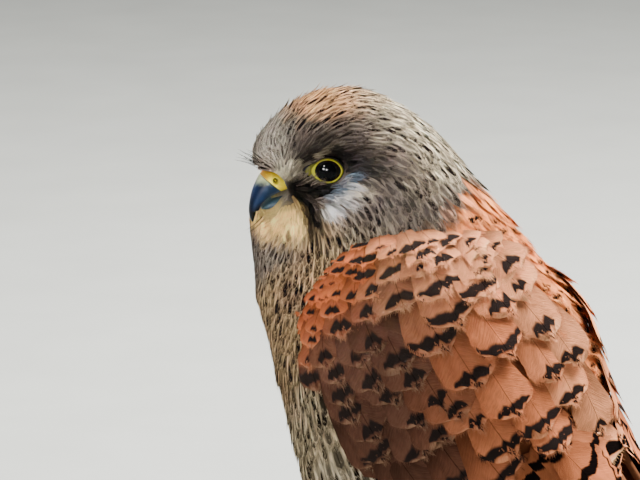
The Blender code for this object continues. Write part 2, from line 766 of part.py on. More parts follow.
def toe_solid(top, way, length, radius):
    """A toe as a tube with a pad under each joint, ending in a flat face."""
    up = np.array([0, 0, 1.0])
    across = np.cross(way, up)
    rings = []
    turn = np.linspace(0, math.tau, 8, endpoint=False)
    for q in np.linspace(0, 1, 7):
        swell = 1.0 - 0.20 * q + 0.10 * math.cos(q * 3 * math.tau)
        fall = (1 - q) ** 3 * 1.6
        centre = np.array([top[0], top[1], TOE_HEIGHT + fall]) + way * (length * q + 2.0)
        r = radius * swell
        rings.append(centre + r * (np.cos(turn)[:, None] * across + np.sin(turn)[:, None] * up))
    return loft("toe", rings)


def claw_solid(name, foot, way, length, radius, horn):
    """A claw that leaves the toe's end, arches and comes down to just above the floor."""
    across = np.cross(way, (0, 0, 1.0))
    up = np.array([0, 0, 1.0])
    start = np.array([foot[0], foot[1], TOE_HEIGHT + 0.35]) + way * (GAP - 0.2)
    rings = []
    turn = np.linspace(0, math.tau, 6, endpoint=False)
    sweep = math.radians(105)
    bow = length / sweep
    for q in np.linspace(0, 1, 6):
        angle = sweep * q - math.radians(38) * min(1.0, q * 1.5) * (1 - q)
        centre = start + way * bow * math.sin(sweep * q) * 0.9 + up * (bow * (math.cos(sweep * q) - 1)) * 0.30
        heading = way * math.cos(angle * 0.5) - up * math.sin(angle * 0.5)
        normal = np.cross(across, heading)
        r = CLAW_RADIUS * (1 - q) ** 0.8 + 0.22
        rings.append(centre + r * (np.cos(turn)[:, None] * across * 0.8 + np.sin(turn)[:, None] * normal))
    rings = np.array(rings)
    lift = 0.05 - rings[..., 2].min()
    if lift > 0:
        rings[..., 2] += lift
    claw = loft(name, rings, horn)
    finish_shading(claw, 60)
    return claw


def main():
    """Builds every named piece of the bird."""
    for obj in list(bpy.data.objects):
        bpy.data.objects.remove(obj)
    plumage = material("grey_brown_plumage", (0.30, 0.25, 0.21), 0.85)
    cream = material("streaked_breast_plumage", (0.62, 0.50, 0.36), 0.85)
    rufous = material("spotted_rufous_plumage", (0.48, 0.19, 0.10), 0.8)
    horn = material("blue_grey_horn", (0.07, 0.09, 0.13), 0.3)
    wax = material("yellow_cere", (0.85, 0.60, 0.05), 0.45)
    scales = material("yellow_scaled_skin", (0.80, 0.52, 0.06), 0.55)
    dark = material("dark_eye", (0.01, 0.008, 0.006), 0.05)

    make_wings(rufous)
    make_tail(rufous)
    make_head(plumage)
    make_eyes(dark)
    make_bill(horn, wax)
    for name, first, last, rings, finish in (
        ("neck", HEAD_ENDS + PART_LINE, NECK_ENDS - PART_LINE, 6, plumage),
        ("torso", NECK_ENDS + PART_LINE, LAST, 16, cream),
    ):
        finish_shading(body_piece(name, first, last, rings, finish))
    make_legs(cream, scales, horn)
    gather()


def gather():
    """Moves every piece so that the origin lies under the bird, into one collection."""
    holder = bpy.data.collections.new(NAME)
    bpy.context.scene.collection.children.link(holder)
    for obj in list(bpy.data.objects):
        obj.data.transform(Matrix.Translation((0, STANDS_AT_Y * MM, 0)))
        for other in list(obj.users_collection):
            other.objects.unlink(obj)
        holder.objects.link(obj)


if __name__ == "__main__":
    main()
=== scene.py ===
"""Looks of a life-size common kestrel: skin, feathers, eyes, bill, legs and a plain studio.

The bird faces -Y, its left side is +X and +Z is up. Sizes here are in millimetres and
each mesh is made in metres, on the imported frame.
"""

from __future__ import annotations

import logging
import math
from dataclasses import dataclass, field
from enum import Enum
from typing import Any, Callable, Sequence

import bpy
import numpy as np
from mathutils import Matrix, Vector


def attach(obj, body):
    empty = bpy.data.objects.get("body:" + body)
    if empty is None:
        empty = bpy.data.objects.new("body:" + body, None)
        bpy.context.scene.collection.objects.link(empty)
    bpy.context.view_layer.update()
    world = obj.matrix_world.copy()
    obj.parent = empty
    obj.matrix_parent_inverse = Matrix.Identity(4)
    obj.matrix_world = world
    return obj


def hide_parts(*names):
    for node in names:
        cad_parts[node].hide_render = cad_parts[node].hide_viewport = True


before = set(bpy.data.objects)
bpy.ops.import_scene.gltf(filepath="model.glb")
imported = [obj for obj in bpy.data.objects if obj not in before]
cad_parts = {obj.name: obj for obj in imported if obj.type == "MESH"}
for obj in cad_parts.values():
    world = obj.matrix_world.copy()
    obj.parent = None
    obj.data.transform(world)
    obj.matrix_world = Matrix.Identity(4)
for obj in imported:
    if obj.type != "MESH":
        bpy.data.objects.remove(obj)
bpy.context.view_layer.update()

LOG = logging.getLogger("kestrel")
MM = 0.001
# Half the side of a feather's patch on the OFBake map.
PATCH = 0.0015
# The folded wing's length and depth, in millimetres.
WING_SIZE = (235.0, 93.0)
# How far the bird is moved along Y, so that the frame's origin lies under its middle.
STANDS_AT = np.array([0.0, -51.3, 0.0])
UP = np.array([0.0, 0.0, 1.0])

Array = np.ndarray
Colour = tuple[float, float, float]
Pair = tuple[float, float]
Places = Callable[[np.ndarray, np.ndarray], np.ndarray]


class Side(Enum):
    """The bird's two sides, by the sign of X."""

    LEFT = 1
    RIGHT = -1

    @property
    def word(self) -> str:
        """The side's word in node names."""
        return self.name.lower()


def linear(red: int, green: int, blue: int) -> Colour:
    """A colour on the 0 to 255 scale, as scene-linear values."""
    parts = (red / 255, green / 255, blue / 255)
    return tuple(c / 12.92 if c <= 10 / 255 else ((c + 0.055) / 1.055) ** 2.4 for c in parts)


def even(colour: Colour, shape: tuple[int, ...]) -> Array:
    """One colour at every place."""
    return np.broadcast_to(np.array(colour), shape + (3,))


def xyz(*parts: Any) -> Array:
    """Points or vectors from their parts."""
    return np.stack(np.broadcast_arrays(*parts), axis=-1)


def circle(count: int) -> Array:
    """The angles of count places round a ring."""
    return np.linspace(0, math.tau, count, endpoint=False)


def from_back(around: Array) -> Array:
    """Degrees away from the back line, on either side."""
    return np.degrees(np.abs((around + math.pi) % math.tau - math.pi))


def smooth(value: Array | float) -> Array:
    """Eases from 0 to 1 as value goes from 0 to 1."""
    value = np.clip(value, 0.0, 1.0)
    return value * value * (3 - 2 * value)


def bell(distance: Array | float, width: float) -> Array:
    """A soft hump of height 1 at no distance."""
    return np.exp(-((np.asarray(distance) / width) ** 2))


def through(rows: Any, where: Array) -> Array:
    """Reads a smooth curve (Catmull-Rom) through rows, where counted in rows.

    Args:
        rows: Control rows, one point or a flat list of numbers each.
        where: Places along the rows.

    Returns:
        One row of numbers for each place.
    """
    rows = np.asarray(rows, float)
    where = np.clip(np.atleast_1d(np.asarray(where, float)), 0, len(rows) - 1)
    first = np.minimum(where.astype(int), len(rows) - 2)
    f = (where - first)[:, None]
    wide = np.vstack([2 * rows[0] - rows[1], rows, 2 * rows[-1] - rows[-2]])
    a, b, c, d = (wide[first + i] for i in range(4))
    return b + 0.5 * f * (c - a + f * (2 * a - 5 * b + 4 * c - d + f * (3 * (b - c) + d - a)))


def unit(vectors: Array) -> Array:
    """Vectors made one long."""
    return vectors / (np.linalg.norm(vectors, axis=-1, keepdims=True) + 1e-12)


def shaded(base: Array, colour: Colour, mask: Array) -> Array:
    """Base colours moved towards one colour where mask is 1."""
    return base + (np.asarray(colour) - base) * np.clip(mask, 0, 1)[..., None]


def stroke(y: Array, z: Array, line: Sequence[Pair], width: float) -> Array:
    """A soft painted line along points of the head's side view.

    Args:
        y: Places ahead of the eye.
        z: Places above the eye.
        line: The line's points, in the same measures.
        width: Its half width.

    Returns:
        A mask from 0 to 1.
    """
    near = np.full(np.shape(y), 1e9)
    for (ay, az), (by, bz) in zip(line, line[1:]):
        dy, dz = by - ay, bz - az
        f = np.clip(((y - ay) * dy + (z - az) * dz) / (dy * dy + dz * dz), 0, 1)
        near = np.minimum(near, np.hypot(y - ay - f * dy, z - az - f * dz))
    return np.exp(-((near / width) ** 3))


def patch(y: Array, z: Array, at: Pair, size: Pair, tilt: float = 0.0) -> Array:
    """A soft oval on the head's side view, with its long axis turned by tilt degrees.

    Args:
        y: Places ahead of the eye.
        z: Places above the eye.
        at: The oval's middle.
        size: Its half length and half height.
        tilt: Its turn.

    Returns:
        A mask from 0 to 1.
    """
    turn = math.radians(tilt)
    dy, dz = y - at[0], z - at[1]
    a = dy * math.cos(turn) + dz * math.sin(turn)
    b = -dy * math.sin(turn) + dz * math.cos(turn)
    return np.exp(-(((a / size[0]) ** 2 + (b / size[1]) ** 2) ** 1.5))


@dataclass(frozen=True)
class BodyForm:
    """The plumage outline from the face to the root of the tail, as in the solids."""

    rows: tuple = (
        (-61.6, 212.4, -61.0, 199.0, 5.5, 0.00),
        (-63.6, 216.2, -62.4, 197.0, 9.4, -0.10),
        (-63.6, 220.6, -63.2, 193.5, 12.0, -0.15),
        (-60.2, 225.8, -63.8, 189.3, 14.4, -0.20),
        (-53.8, 231.2, -63.6, 184.5, 16.2, -0.20),
        (-43.5, 236.0, -63.0, 179.0, 18.0, -0.18),
        (-31.5, 236.4, -62.6, 172.5, 20.2, -0.14),
        (-20.0, 231.8, -60.6, 165.0, 23.2, -0.08),
        (-9.0, 224.4, -58.2, 155.5, 27.2, 0.00),
        (1.5, 213.5, -56.2, 144.0, 31.5, 0.05),
        (12.5, 202.0, -52.8, 131.5, 35.0, 0.08),
        (25.0, 188.5, -49.6, 119.0, 36.8, 0.10),
        (36.0, 173.0, -45.0, 106.5, 37.0, 0.10),
        (43.5, 156.5, -37.5, 95.0, 35.5, 0.10),
        (47.0, 139.5, -25.0, 85.0, 32.0, 0.10),
        (48.0, 123.5, -8.0, 78.0, 27.0, 0.06),
        (48.0, 109.5, 11.0, 74.5, 20.5, 0.03),
        (48.0, 98.5, 28.0, 76.0, 13.5, 0.00),
    )
    head_turn: float = math.radians(36.0)
    neck_line_y: float = -28.0
    turn_starts: float = 4.5
    turn_ends: float = 10.5
    eye_y: float = -44.0
    eye_z: float = 214.0
    # How far ahead of the eye the bare ring's middle lies, and where the face's feathers part.
    ring_ahead: float = -1.8
    parting: Pair = (-56.3, 207.9)
    # Where the face's feathers end round the bill: the round edge's middle and radius,
    # and the chin's edge as height and Y.
    notch: tuple[float, float, float] = (-62.3, 205.0, 7.9)
    chin: tuple = ((199.6, -63.0), (200.0, -60.5), (201.4, -58.9), (203.6, -57.0), (205.7, -54.5))

    def turned(self, points: Array, row: Array) -> Array:
        """Turns points of the straight bird with the neck, by their row.

        Args:
            points: Points of the straight bird.
            row: Their rows.

        Returns:
            The turned points.
        """
        span = self.turn_ends - self.turn_starts
        angle = self.head_turn * (1 - smooth((row - self.turn_starts) / span))
        cosine, sine = np.cos(angle), np.sin(angle)
        x, y = points[..., 0], points[..., 1] - self.neck_line_y
        return xyz(x * cosine - y * sine, x * sine + y * cosine + self.neck_line_y, points[..., 2])

    def on_head(self, point: Any) -> Array:
        """A place given for the straight head, on the turned head."""
        return self.turned(np.asarray(point, float), np.asarray(0.0))

    def from_eye(self, points: Array, shift: float = 0.0) -> tuple[Array, Array]:
        """How far points of the straight head lie ahead of and above the eye."""
        return self.eye_y - points[..., 1] - shift, points[..., 2] - self.eye_z

    def face_form(self, points: Array) -> Array:
        """The brow, the eye hollow, the narrow lores and the cheek.

        Args:
            points: Points of the plain plumage.

        Returns:
            The points with the face formed.
        """
        x, y, z = points[..., 0], points[..., 1], points[..., 2]
        side = np.tanh(x / 4.0)
        ahead, above = self.from_eye(points)
        brow = bell(ahead - 1.5, 8.5) * bell(above - 6.4 + 0.12 * ahead, 2.4)
        hollow = np.exp(-(((ahead - 0.5) ** 2 + (1.15 * above) ** 2) / 54.0) ** 2)
        taper = smooth((ahead + 1.0) / 14.0) * bell(above + 5.0, 9.5)
        cheek = bell(ahead + 3.0, 9.0) * bell(above + 12.0, 6.0)
        x = x * (1 - 0.60 * taper) + side * (1.3 * brow - 2.9 * hollow + 0.8 * cheek)
        return xyz(x, y, z)

    def straight(self, row: Array, around: Array) -> Array:
        """Points of the plumage before the head turns.

        Args:
            row: Places counted in rows.
            around: Angle from the back line towards the left side, in radians.

        Returns:
            Points in millimetres.
        """
        row, around = np.broadcast_arrays(np.asarray(row, float), np.asarray(around, float))
        section = through(self.rows, row.ravel()).reshape(row.shape + (6,))
        back, belly = section[..., 0:2], section[..., 2:4]
        width, wider = section[..., 4], section[..., 5]
        centre, half = (back + belly) / 2, (back - belly) / 2
        cosine, sine = np.cos(around), np.sin(around)
        x = width * sine * (1 + wider * cosine)
        yz = centre + half * cosine[..., None]
        return self.face_form(np.concatenate([x[..., None], yz], axis=-1))

    def tangents(self, row: Array, around: Array, turned: bool) -> tuple[Array, Array]:
        """How a point moves for one row further, and for one radian round.

        Args:
            row: Places counted in rows of the body.
            around: Angles from the back line, in radians.
            turned: Whether the head is turned.

        Returns:
            Steps along the rows and round them, in millimetres.
        """
        step = 0.02
        read = self.points if turned else self.straight
        along = (read(row + step, around) - read(row - step, around)) / (2 * step)
        across = (read(row, around + step) - read(row, around - step)) / (2 * step)
        return along, across

    def points(self, row: Array, around: Array) -> Array:
        """Points of the plumage in millimetres."""
        return self.turned(self.straight(row, around), row)

    def normals(self, row: Array, around: Array) -> Array:
        """Unit normals that point outwards."""
        along, across = self.tangents(row, around, True)
        return unit(np.cross(across, along))

    def bill_edge(self, z: Array) -> Array:
        """The Y at which the face's feathers end before the bill, at each height.

        Args:
            z: Heights on the straight head.

        Returns:
            Y at each height, far ahead of the face where there is no bill.
        """
        y, middle, radius = self.notch
        arc = y + np.sqrt(np.clip(radius**2 - (z - middle) ** 2, 0, None))
        heights, places = zip(*self.chin)
        edge = np.where(z > heights[-1], arc, np.interp(z, heights, places))
        return np.where((z < heights[0]) | (z > middle + radius), -1e3, edge)

    def lie(self, row: Array, around: Array) -> tuple[Array, Array]:
        """The way the feathers lie, as rows and radians for one millimetre.

        On the head they part round the bill and sweep back over the crown and down the
        neck. On the body they run along the rows.

        Args:
            row: Places counted in rows of the body.
            around: Angles from the back line, in radians.

        Returns:
            Rows, and radians.
        """
        spot = self.straight(row, around)
        along, across = self.tangents(row, around, False)
        back, up = spot[..., 1] - self.parting[0], spot[..., 2] - self.parting[1]
        far = np.hypot(back, up) + 1e-6
        sweep = 0.4 * smooth((spot[..., 2] - 210.0) / 10.0) * (1 - smooth((far - 36.0) / 12.0))
        fall = (far / 45.0) ** 1.5
        flow = xyz(0 * back, back / far + sweep, up / far - fall)
        body = smooth((row - 7.0) / 3.0)[..., None]
        flow = unit(flow) * (1 - body) + unit(along) * body
        normal = unit(np.cross(across, along))
        flow = unit(flow - normal * np.sum(flow * normal, axis=-1, keepdims=True))
        pairs = ((along, along), (along, across), (across, across))
        aa, ab, bb = (np.sum(p * q, axis=-1) for p, q in pairs)
        fa, fb = np.sum(flow * along, axis=-1), np.sum(flow * across, axis=-1)
        whole = aa * bb - ab * ab + 1e-9
        return (fa * bb - fb * ab) / whole, (fb * aa - fa * ab) / whole


BODY = BodyForm()
LAST_ROW = len(BODY.rows) - 1.0


@dataclass(frozen=True)
class Sheet:
    """A smooth sheet through a grid of control points, read at (s, h) from 0 to 1."""

    rows: Array

    def at(self, s: Array, h: Array) -> Array:
        """Points at s along and h across, past the edges too.

        Args:
            s: Places along.
            h: Places across.

        Returns:
            The points.
        """
        s, h = np.broadcast_arrays(np.asarray(s, float), np.asarray(h, float))
        count, wide = self.rows.shape[:2]
        inside = np.clip(s, 0, 1)
        lines = through(self.rows.reshape(count, -1), inside.ravel() * (count - 1)).reshape(-1, wide, 3)
        first, last = self.rows[1] - self.rows[0], self.rows[-1] - self.rows[-2]
        ends = np.where(s.ravel()[:, None, None] < 0, first, last)
        lines = lines + ends * ((s - inside).ravel() * (count - 1))[:, None, None]
        place = h.ravel() * (wide - 1)
        first = np.clip(place.astype(int), 0, wide - 2)
        f = (place - first)[:, None]
        ahead, after = 2 * lines[:, 0] - lines[:, 1], 2 * lines[:, -1] - lines[:, -2]
        lines = np.concatenate([ahead[:, None], lines, after[:, None]], axis=1)
        spot = np.arange(len(first))
        a, b, c, d = (lines[spot, first + i] for i in range(4))
        curve = b + 0.5 * f * (c - a + f * (2 * a - 5 * b + 4 * c - d + f * (3 * (b - c) + d - a)))
        made = np.where(f < 0, b + (c - b) * f, np.where(f > 1, c + (c - b) * (f - 1), curve))
        return made.reshape(s.shape + (3,))

    def normals(self, s: Array, h: Array) -> Array:
        """Unit normals that point away from the body.

        Args:
            s: Places along.
            h: Places across.

        Returns:
            The normals.
        """
        step = 0.01
        along = self.at(s + step, h) - self.at(s - step, h)
        across = self.at(s, h + step) - self.at(s, h - step)
        return unit(np.cross(along, across))


def feed(tree: Any, socket: Any, given: Any) -> None:
    """Links or sets one input socket.

    Args:
        tree: The node tree.
        socket: The input.
        given: A socket, a Value or a plain value.
    """
    given = getattr(given, "socket", given)
    if isinstance(given, bpy.types.NodeSocket):
        tree.links.new(given, socket)
    elif isinstance(given, tuple) and len(given) == 3 and len(socket.default_value) == 4:
        socket.default_value = (*given, 1.0)
    else:
        socket.default_value = given


def add_node(tree: Any, kind: str, settings: dict[str, Any], inputs: dict[Any, Any]) -> Any:
    """Adds a node to a tree.

    Args:
        tree: The node tree.
        kind: The node's type.
        settings: Its own settings, set first.
        inputs: What feeds it, by socket name or number.

    Returns:
        The node.
    """
    made = tree.nodes.new(kind)
    for key, setting in settings.items():
        setattr(made, key, setting)
    for key, given in inputs.items():
        feed(tree, made.inputs[key], given)
    return made


def maths(operation: str, swapped: bool = False) -> Callable[..., Value]:
    """Makes a method that adds one Math node.

    Args:
        operation: The node's operation.
        swapped: Whether the method's own value comes last.

    Returns:
        The method.
    """

    def method(self: Value, *others: Any) -> Value:
        """The node's result."""
        terms = (*others, self) if swapped else (self, *others)
        return self.graph.value("ShaderNodeMath", {"operation": operation}, dict(enumerate(terms)))

    return method


class Value:
    """A shader socket that adds Math nodes when it is used in sums."""

    __add__ = __radd__ = maths("ADD")
    __sub__, __rsub__ = maths("SUBTRACT"), maths("SUBTRACT", swapped=True)
    __mul__ = __rmul__ = maths("MULTIPLY")
    __truediv__, __pow__, sine = maths("DIVIDE"), maths("POWER"), maths("SINE")
    highest, lowest = maths("MAXIMUM"), maths("MINIMUM")

    def __init__(self, graph: Graph, socket: Any) -> None:
        """Wraps one output socket of the graph."""
        self.graph, self.socket = graph, socket

    def step(self, low: Any, high: Any) -> Value:
        """Eases from 0 at low to 1 at high."""
        inputs = {"Value": self, "From Min": low, "From Max": high, "To Min": 0.0, "To Max": 1.0}
        return self.graph.value("ShaderNodeMapRange", {"interpolation_type": "SMOOTHSTEP"}, inputs)


class Graph:
    """A material's node tree, built by expressions."""

    def __init__(self, name: str) -> None:
        """Starts a material with one Principled shader.

        Args:
            name: The material's name.
        """
        self.material = bpy.data.materials.new(name)
        self.material.use_nodes = True
        self.tree = self.material.node_tree
        self.shader = self.tree.nodes["Principled BSDF"]

    def value(self, kind: str, settings: dict[str, Any], inputs: dict[Any, Any], output: Any = 0) -> Value:
        """Adds a node and wraps one of its outputs."""
        return Value(self, add_node(self.tree, kind, settings, inputs).outputs[output])

    def colour(self, name: str) -> Value:
        """A mesh attribute as a colour."""
        return self.value("ShaderNodeAttribute", {"attribute_name": name}, {}, "Color")

    def numbers(self, name: str) -> list[Value]:
        """A mesh attribute's three numbers.

        Args:
            name: The attribute's name.

        Returns:
            Its X, Y and Z.
        """
        spot = self.value("ShaderNodeAttribute", {"attribute_name": name}, {}, "Vector")
        parts = add_node(self.tree, "ShaderNodeSeparateXYZ", {}, {0: spot})
        return [Value(self, out) for out in parts.outputs]

    def place(self) -> Value:
        """Object coordinates in millimetres."""
        inputs = {0: self.value("ShaderNodeTexCoord", {}, {}, "Object"), "Scale": 1000.0}
        return self.value("ShaderNodeVectorMath", {"operation": "SCALE"}, inputs, "Vector")

    def vector(self, x: Any, y: Any, z: Any) -> Value:
        """A vector from three numbers or values."""
        return self.value("ShaderNodeCombineXYZ", {}, {0: x, 1: y, 2: z})

    def noise(self, vector: Value, scale: float, detail: float = 2.0, roughness: float = 0.5) -> Value:
        """Soft noise from 0 to 1."""
        inputs = {"Vector": vector, "Scale": scale, "Detail": detail, "Roughness": roughness}
        return self.value("ShaderNodeTexNoise", {}, inputs, 0)

    def mix(self, mask: Any, below: Any, above: Any, blend: str = "MIX") -> Value:
        """Colours below and above mixed by mask."""
        settings = {"data_type": "RGBA", "blend_type": blend}
        return self.value("ShaderNodeMix", settings, {0: mask, 6: below, 7: above}, 2)

    def lit(self, colour: Any, amount: Value) -> Value:
        """A colour made lighter or darker by a value round 1."""
        grey = self.vector(amount, amount, amount)
        return self.mix(1.0, colour, grey, "MULTIPLY")

    def finish(
        self, colour: Any, rough: Any, sheen: float, relief: tuple | None = None, more: dict | None = None
    ) -> Any:
        """Feeds the shader.

        Args:
            colour: The base colour, kept from going past white.
            rough: The roughness.
            sheen: The specular level.
            relief: Height, its size in metres and its strength, if there is a relief.
            more: Other inputs by name.

        Returns:
            The material.
        """
        whitest = {0: colour, 1: (1.0, 1.0, 1.0)}
        colour = self.value("ShaderNodeVectorMath", {"operation": "MINIMUM"}, whitest, "Vector")
        inputs = {"Base Color": colour, "Roughness": rough, "Specular IOR Level": sheen} | (more or {})
        if relief:
            bump = dict(zip(("Height", "Distance", "Strength"), relief))
            inputs["Normal"] = self.value("ShaderNodeBump", {}, bump)
        for key, given in inputs.items():
            feed(self.tree, self.shader.inputs[key], given)
        return self.material


@dataclass(frozen=True)
class PlumageFinish:
    """Feathers: ground colour and marks by attribute, barbs, shaft, pale fringe and painted shade towards
    the root.

    Each feather carries lie (distance from its shaft, distance to its tip's outline,
    chance), span (distance from its root, half width, length), all in millimetres, and
    marks (streak, pale fringe, half width of its spot).
    """

    name: str
    mark: Colour = linear(19, 14, 13)
    fringe: Colour = linear(206, 176, 140)
    barb_depth: float = 0.5
    barb_width: float = 0.32
    shaft_dark: float = 0.5
    mark_depth: float = 4.0
    # How dark the painted shade at each feather's root is, and where along the feather it ends.
    straight: float = 0.35
    root_dark: float = 0.5
    own: float = 0.8
    strands: bool = False
    shows: float = 0.6
    bars: float = 0.0

    def build(self) -> Any:
        """The material's nodes.

        Returns:
            The material.
        """
        g = Graph(self.name)
        ground = g.colour("ground")
        x, tip, chance = g.numbers("lie")
        y, half, length = g.numbers("span")
        streak, pale, spot = g.numbers("marks")
        out, along = x / half, y / length
        # On wing feathers the barbs slant outwards; on small ones they run along as strands.
        slant = g.vector((y - 0.5 * x) / self.barb_width, 0.25 * x, chance * 37.0)
        straight = g.vector((x - 0.06 * y) / self.barb_width, 0.14 * y, chance * 37.0)
        barbs = g.noise(straight if self.strands else slant, 1.0, 2.0, 0.6)
        cloud = g.noise(g.vector(0.2 * y, 0.35 * x, chance * 53.0), 1.0)
        shade = 1.0 + self.barb_depth * 2.0 * (barbs - 0.5) + 0.35 * (chance - 0.5) + 0.7 * (cloud - 0.5)
        # Painted shade: each feather is darker towards its root, where the feather above shades it, than on
        # the part that shows.
        shade = shade * (1 - self.root_dark * (1 - along.step(0.2, self.shows)))
        colour = g.lit(ground, shade)
        # Dark streak along the shaft, widest past the middle.
        wide = (0.18 + 0.36 * along.step(0.2, 0.65)) * (0.6 + 0.5 * streak)
        drop = 1 - (out + 0.35 * (barbs - 0.5)).step(0.6 * wide, 1.4 * wide)
        drop = drop * (1 - along.step(0.93, 1.0)) * along.step(0.1, 0.3)
        colour = g.mix((drop * streak).lowest(1.0), colour, self.mark)
        # Pale fringe along the tip, broken along the barbs.
        rim = 1 - tip / (0.25 + 0.14 * half) + 1.6 * (barbs - 0.5)
        rim = rim.step(-0.2, 0.7) * (1 - 0.85 * out.step(0.45, 0.9))
        # Its colour lies between the finish's own and the ground, made lighter.
        tinted = g.mix(self.own, self.fringe, g.mix(1.0, ground, (1.7, 1.7, 1.7), "MULTIPLY"))
        colour = g.mix(rim * pale, colour, tinted)
        # The mark: a band along the tip's outline, with two lobes towards the root.
        wander = 0.45 * (barbs - 0.5) + 1.0 * (cloud - 0.5)
        w = (x / (spot + 0.001)).lowest(1.0)
        lobes = ((1 - w * w).highest(0.0) ** 0.5) * (0.66 + 0.34 * w.step(0.0, 0.35))
        deep = (1.3 * spot).lowest(self.mark_depth) * lobes
        # Between the tip's own outline and a straight line across.
        bend = tip * (1 - self.straight) + (length - y) * self.straight
        rise = bend - (0.3 + 0.15 * half) - 0.2 * spot.lowest(2.0) + wander * 0.9
        heart = rise.step(-0.35, 0.6) * (deep - rise).step(-0.4, 1.1) * spot.step(0.3, 0.6)
        if self.bars:
            rung = ((tip / self.bars) * math.tau).sine() + 0.9 * (barbs - 0.5)
            heart = heart.highest(rung.step(0.45, 0.75) * tip.step(2.0, 4.0))
        colour = g.mix(heart, colour, self.mark)
        # The shaft itself.
        shaft = (1 - x.step(0.05, 0.2)) * (1 - along.step(0.9, 1.0)) * half.step(1.5, 4.0)
        colour = g.lit(colour, 1 - self.shaft_dark * shaft)
        return g.finish(colour, 0.7, 0.0, (barbs + 0.6 * shaft, 0.0003, 0.7))


@dataclass(frozen=True)
class SkinFinish:
    """Down between the feathers: the same ground colours, darker, with a fine nap."""

    name: str = "down"

    def build(self) -> Any:
        """The material's nodes.

        Returns:
            The material.
        """
        g = Graph(self.name)
        nap = g.noise(g.place(), 1.6, 3.0)
        return g.finish(g.lit(g.colour("ground"), 0.35 + 0.5 * nap), 0.9, 0.0, (nap, 0.0004, 0.7))


@dataclass(frozen=True)
class EyeFinish:
    """A wet eye: black pupil, very dark brown iris, clear coat."""

    name: str = "wet_eye"
    pupil: Colour = linear(3, 3, 4)
    iris: Colour = linear(13, 9, 7)

    def build(self) -> Any:
        """The material's nodes.

        Returns:
            The material.
        """
        g = Graph(self.name)
        out, turn, _ = g.numbers("lie")
        rays = g.noise(g.vector(3 * out, 9 * turn, 0.0), 2.0)
        iris = g.lit(self.iris, 0.6 + 0.8 * rays)
        colour = g.mix(out.step(0.27, 0.31) * (1 - out.step(0.46, 0.52)), self.pupil, iris)
        return g.finish(colour, 0.03, 0.06, more={"IOR": 1.4})


@dataclass(frozen=True)
class LidFinish:
    """Bare skin round the eye: yellow rim, olive towards the feathers and, as painted shade under the brow,
    along the top, dark outside.
    """

    name: str = "eye_ring"
    rim: Colour = linear(190, 184, 30)
    bare: Colour = linear(88, 86, 16)
    outside: Colour = linear(13, 11, 9)

    def build(self) -> Any:
        """The material's nodes.

        Returns:
            The material.
        """
        g = Graph(self.name)
        out, front, above = g.numbers("lie")
        grain = g.noise(g.place(), 2.4, 3.0)
        # Painted shade: towards its top the rim turns olive too, as if shaded by the brow.
        colour = g.mix((out.step(0.20, 0.34)).highest(0.75 * above.step(0.2, 0.9)), self.rim, self.bare)
        colour = g.mix((out - 0.3 * front).step(0.42, 0.66), colour, self.outside)
        colour = g.lit(colour, 0.75 + 0.5 * grain)
        return g.finish(colour, 0.45 + 0.2 * grain, 0.04, (grain, 0.0002, 0.6))


@dataclass(frozen=True)
class HornFinish:
    """Bill horn: pale green-white at the root, slate blue, black at tip and edge."""

    name: str = "bill_horn"
    root: Colour = linear(176, 184, 150)
    body: Colour = linear(28, 43, 70)
    dark: Colour = linear(5, 6, 8)
    tip_starts: float = 0.40
    edge_dark: float = 0.7

    def build(self) -> Any:
        """The material's nodes. lie holds along and depth from the ridge.

        Returns:
            The material.
        """
        g = Graph(self.name)
        along, deep, _ = g.numbers("lie")
        growth = g.noise(g.place(), 0.9, 4.0, 0.6)
        along = along + 0.14 * (growth - 0.5)
        colour = g.mix((along + 0.35 * deep).step(0.0, 0.2), self.root, self.body)
        colour = g.mix(deep.step(0.55, 0.92) * self.edge_dark * along.step(0.02, 0.2), colour, self.dark)
        colour = g.mix((1 - deep.step(0.05, 0.3)) * 0.5 * along.step(0.15, 0.4), colour, self.dark)
        colour = g.mix(along.step(self.tip_starts, self.tip_starts + 0.3), colour, self.dark)
        colour = g.lit(colour, 0.85 + 0.3 * growth)
        return g.finish(colour, 0.26 + 0.16 * growth, 0.06, (growth, 0.0001, 0.4))


@dataclass(frozen=True)
class CereFinish:
    """The cere: bright yellow wax, orange-brown along its top and back and in the nostril."""

    name: str = "cere_wax"
    wax: Colour = linear(255, 224, 40)
    rust: Colour = linear(150, 78, 8)
    hole: Colour = linear(60, 24, 8)

    def build(self) -> Any:
        """The material's nodes. lie holds along, depth from the ridge, nostril.

        Returns:
            The material.
        """
        g = Graph(self.name)
        along, deep, hole = g.numbers("lie")
        blotch = g.noise(g.place(), 0.55, 3.0)
        back = (1 - (along + 0.5 * (blotch - 0.5)).step(0.25, 0.62)) + (1 - deep.step(0.05, 0.3))
        colour = g.mix((0.75 * back).lowest(1.0), self.wax, self.rust)
        colour = g.mix(hole, colour, self.hole)
        relief = (g.noise(g.place(), 2.2, 3.0), 0.00015, 0.6)
        return g.finish(colour, 0.42, 0.08, relief, {"Subsurface Weight": 0.08})


@dataclass(frozen=True)
class ScaleFinish:
    """Yellow scaled skin of shank and toes, darker between the plates."""

    name: str = "leg_scales"
    plate: Colour = linear(236, 178, 36)
    gap: Colour = linear(150, 96, 20)

    def build(self) -> Any:
        """The material's nodes.

        Returns:
            The material.
        """
        g = Graph(self.name)
        blotch = g.noise(g.place(), 0.35, 3.0)
        colour = g.mix(blotch.step(0.42, 0.75), self.plate, self.gap)
        grain = g.noise(g.place(), 3.0, 3.0)
        colour = g.lit(colour, 0.8 + 0.4 * grain)
        return g.finish(colour, 0.42 + 0.2 * grain, 0.1, (grain, 0.00012, 0.5))


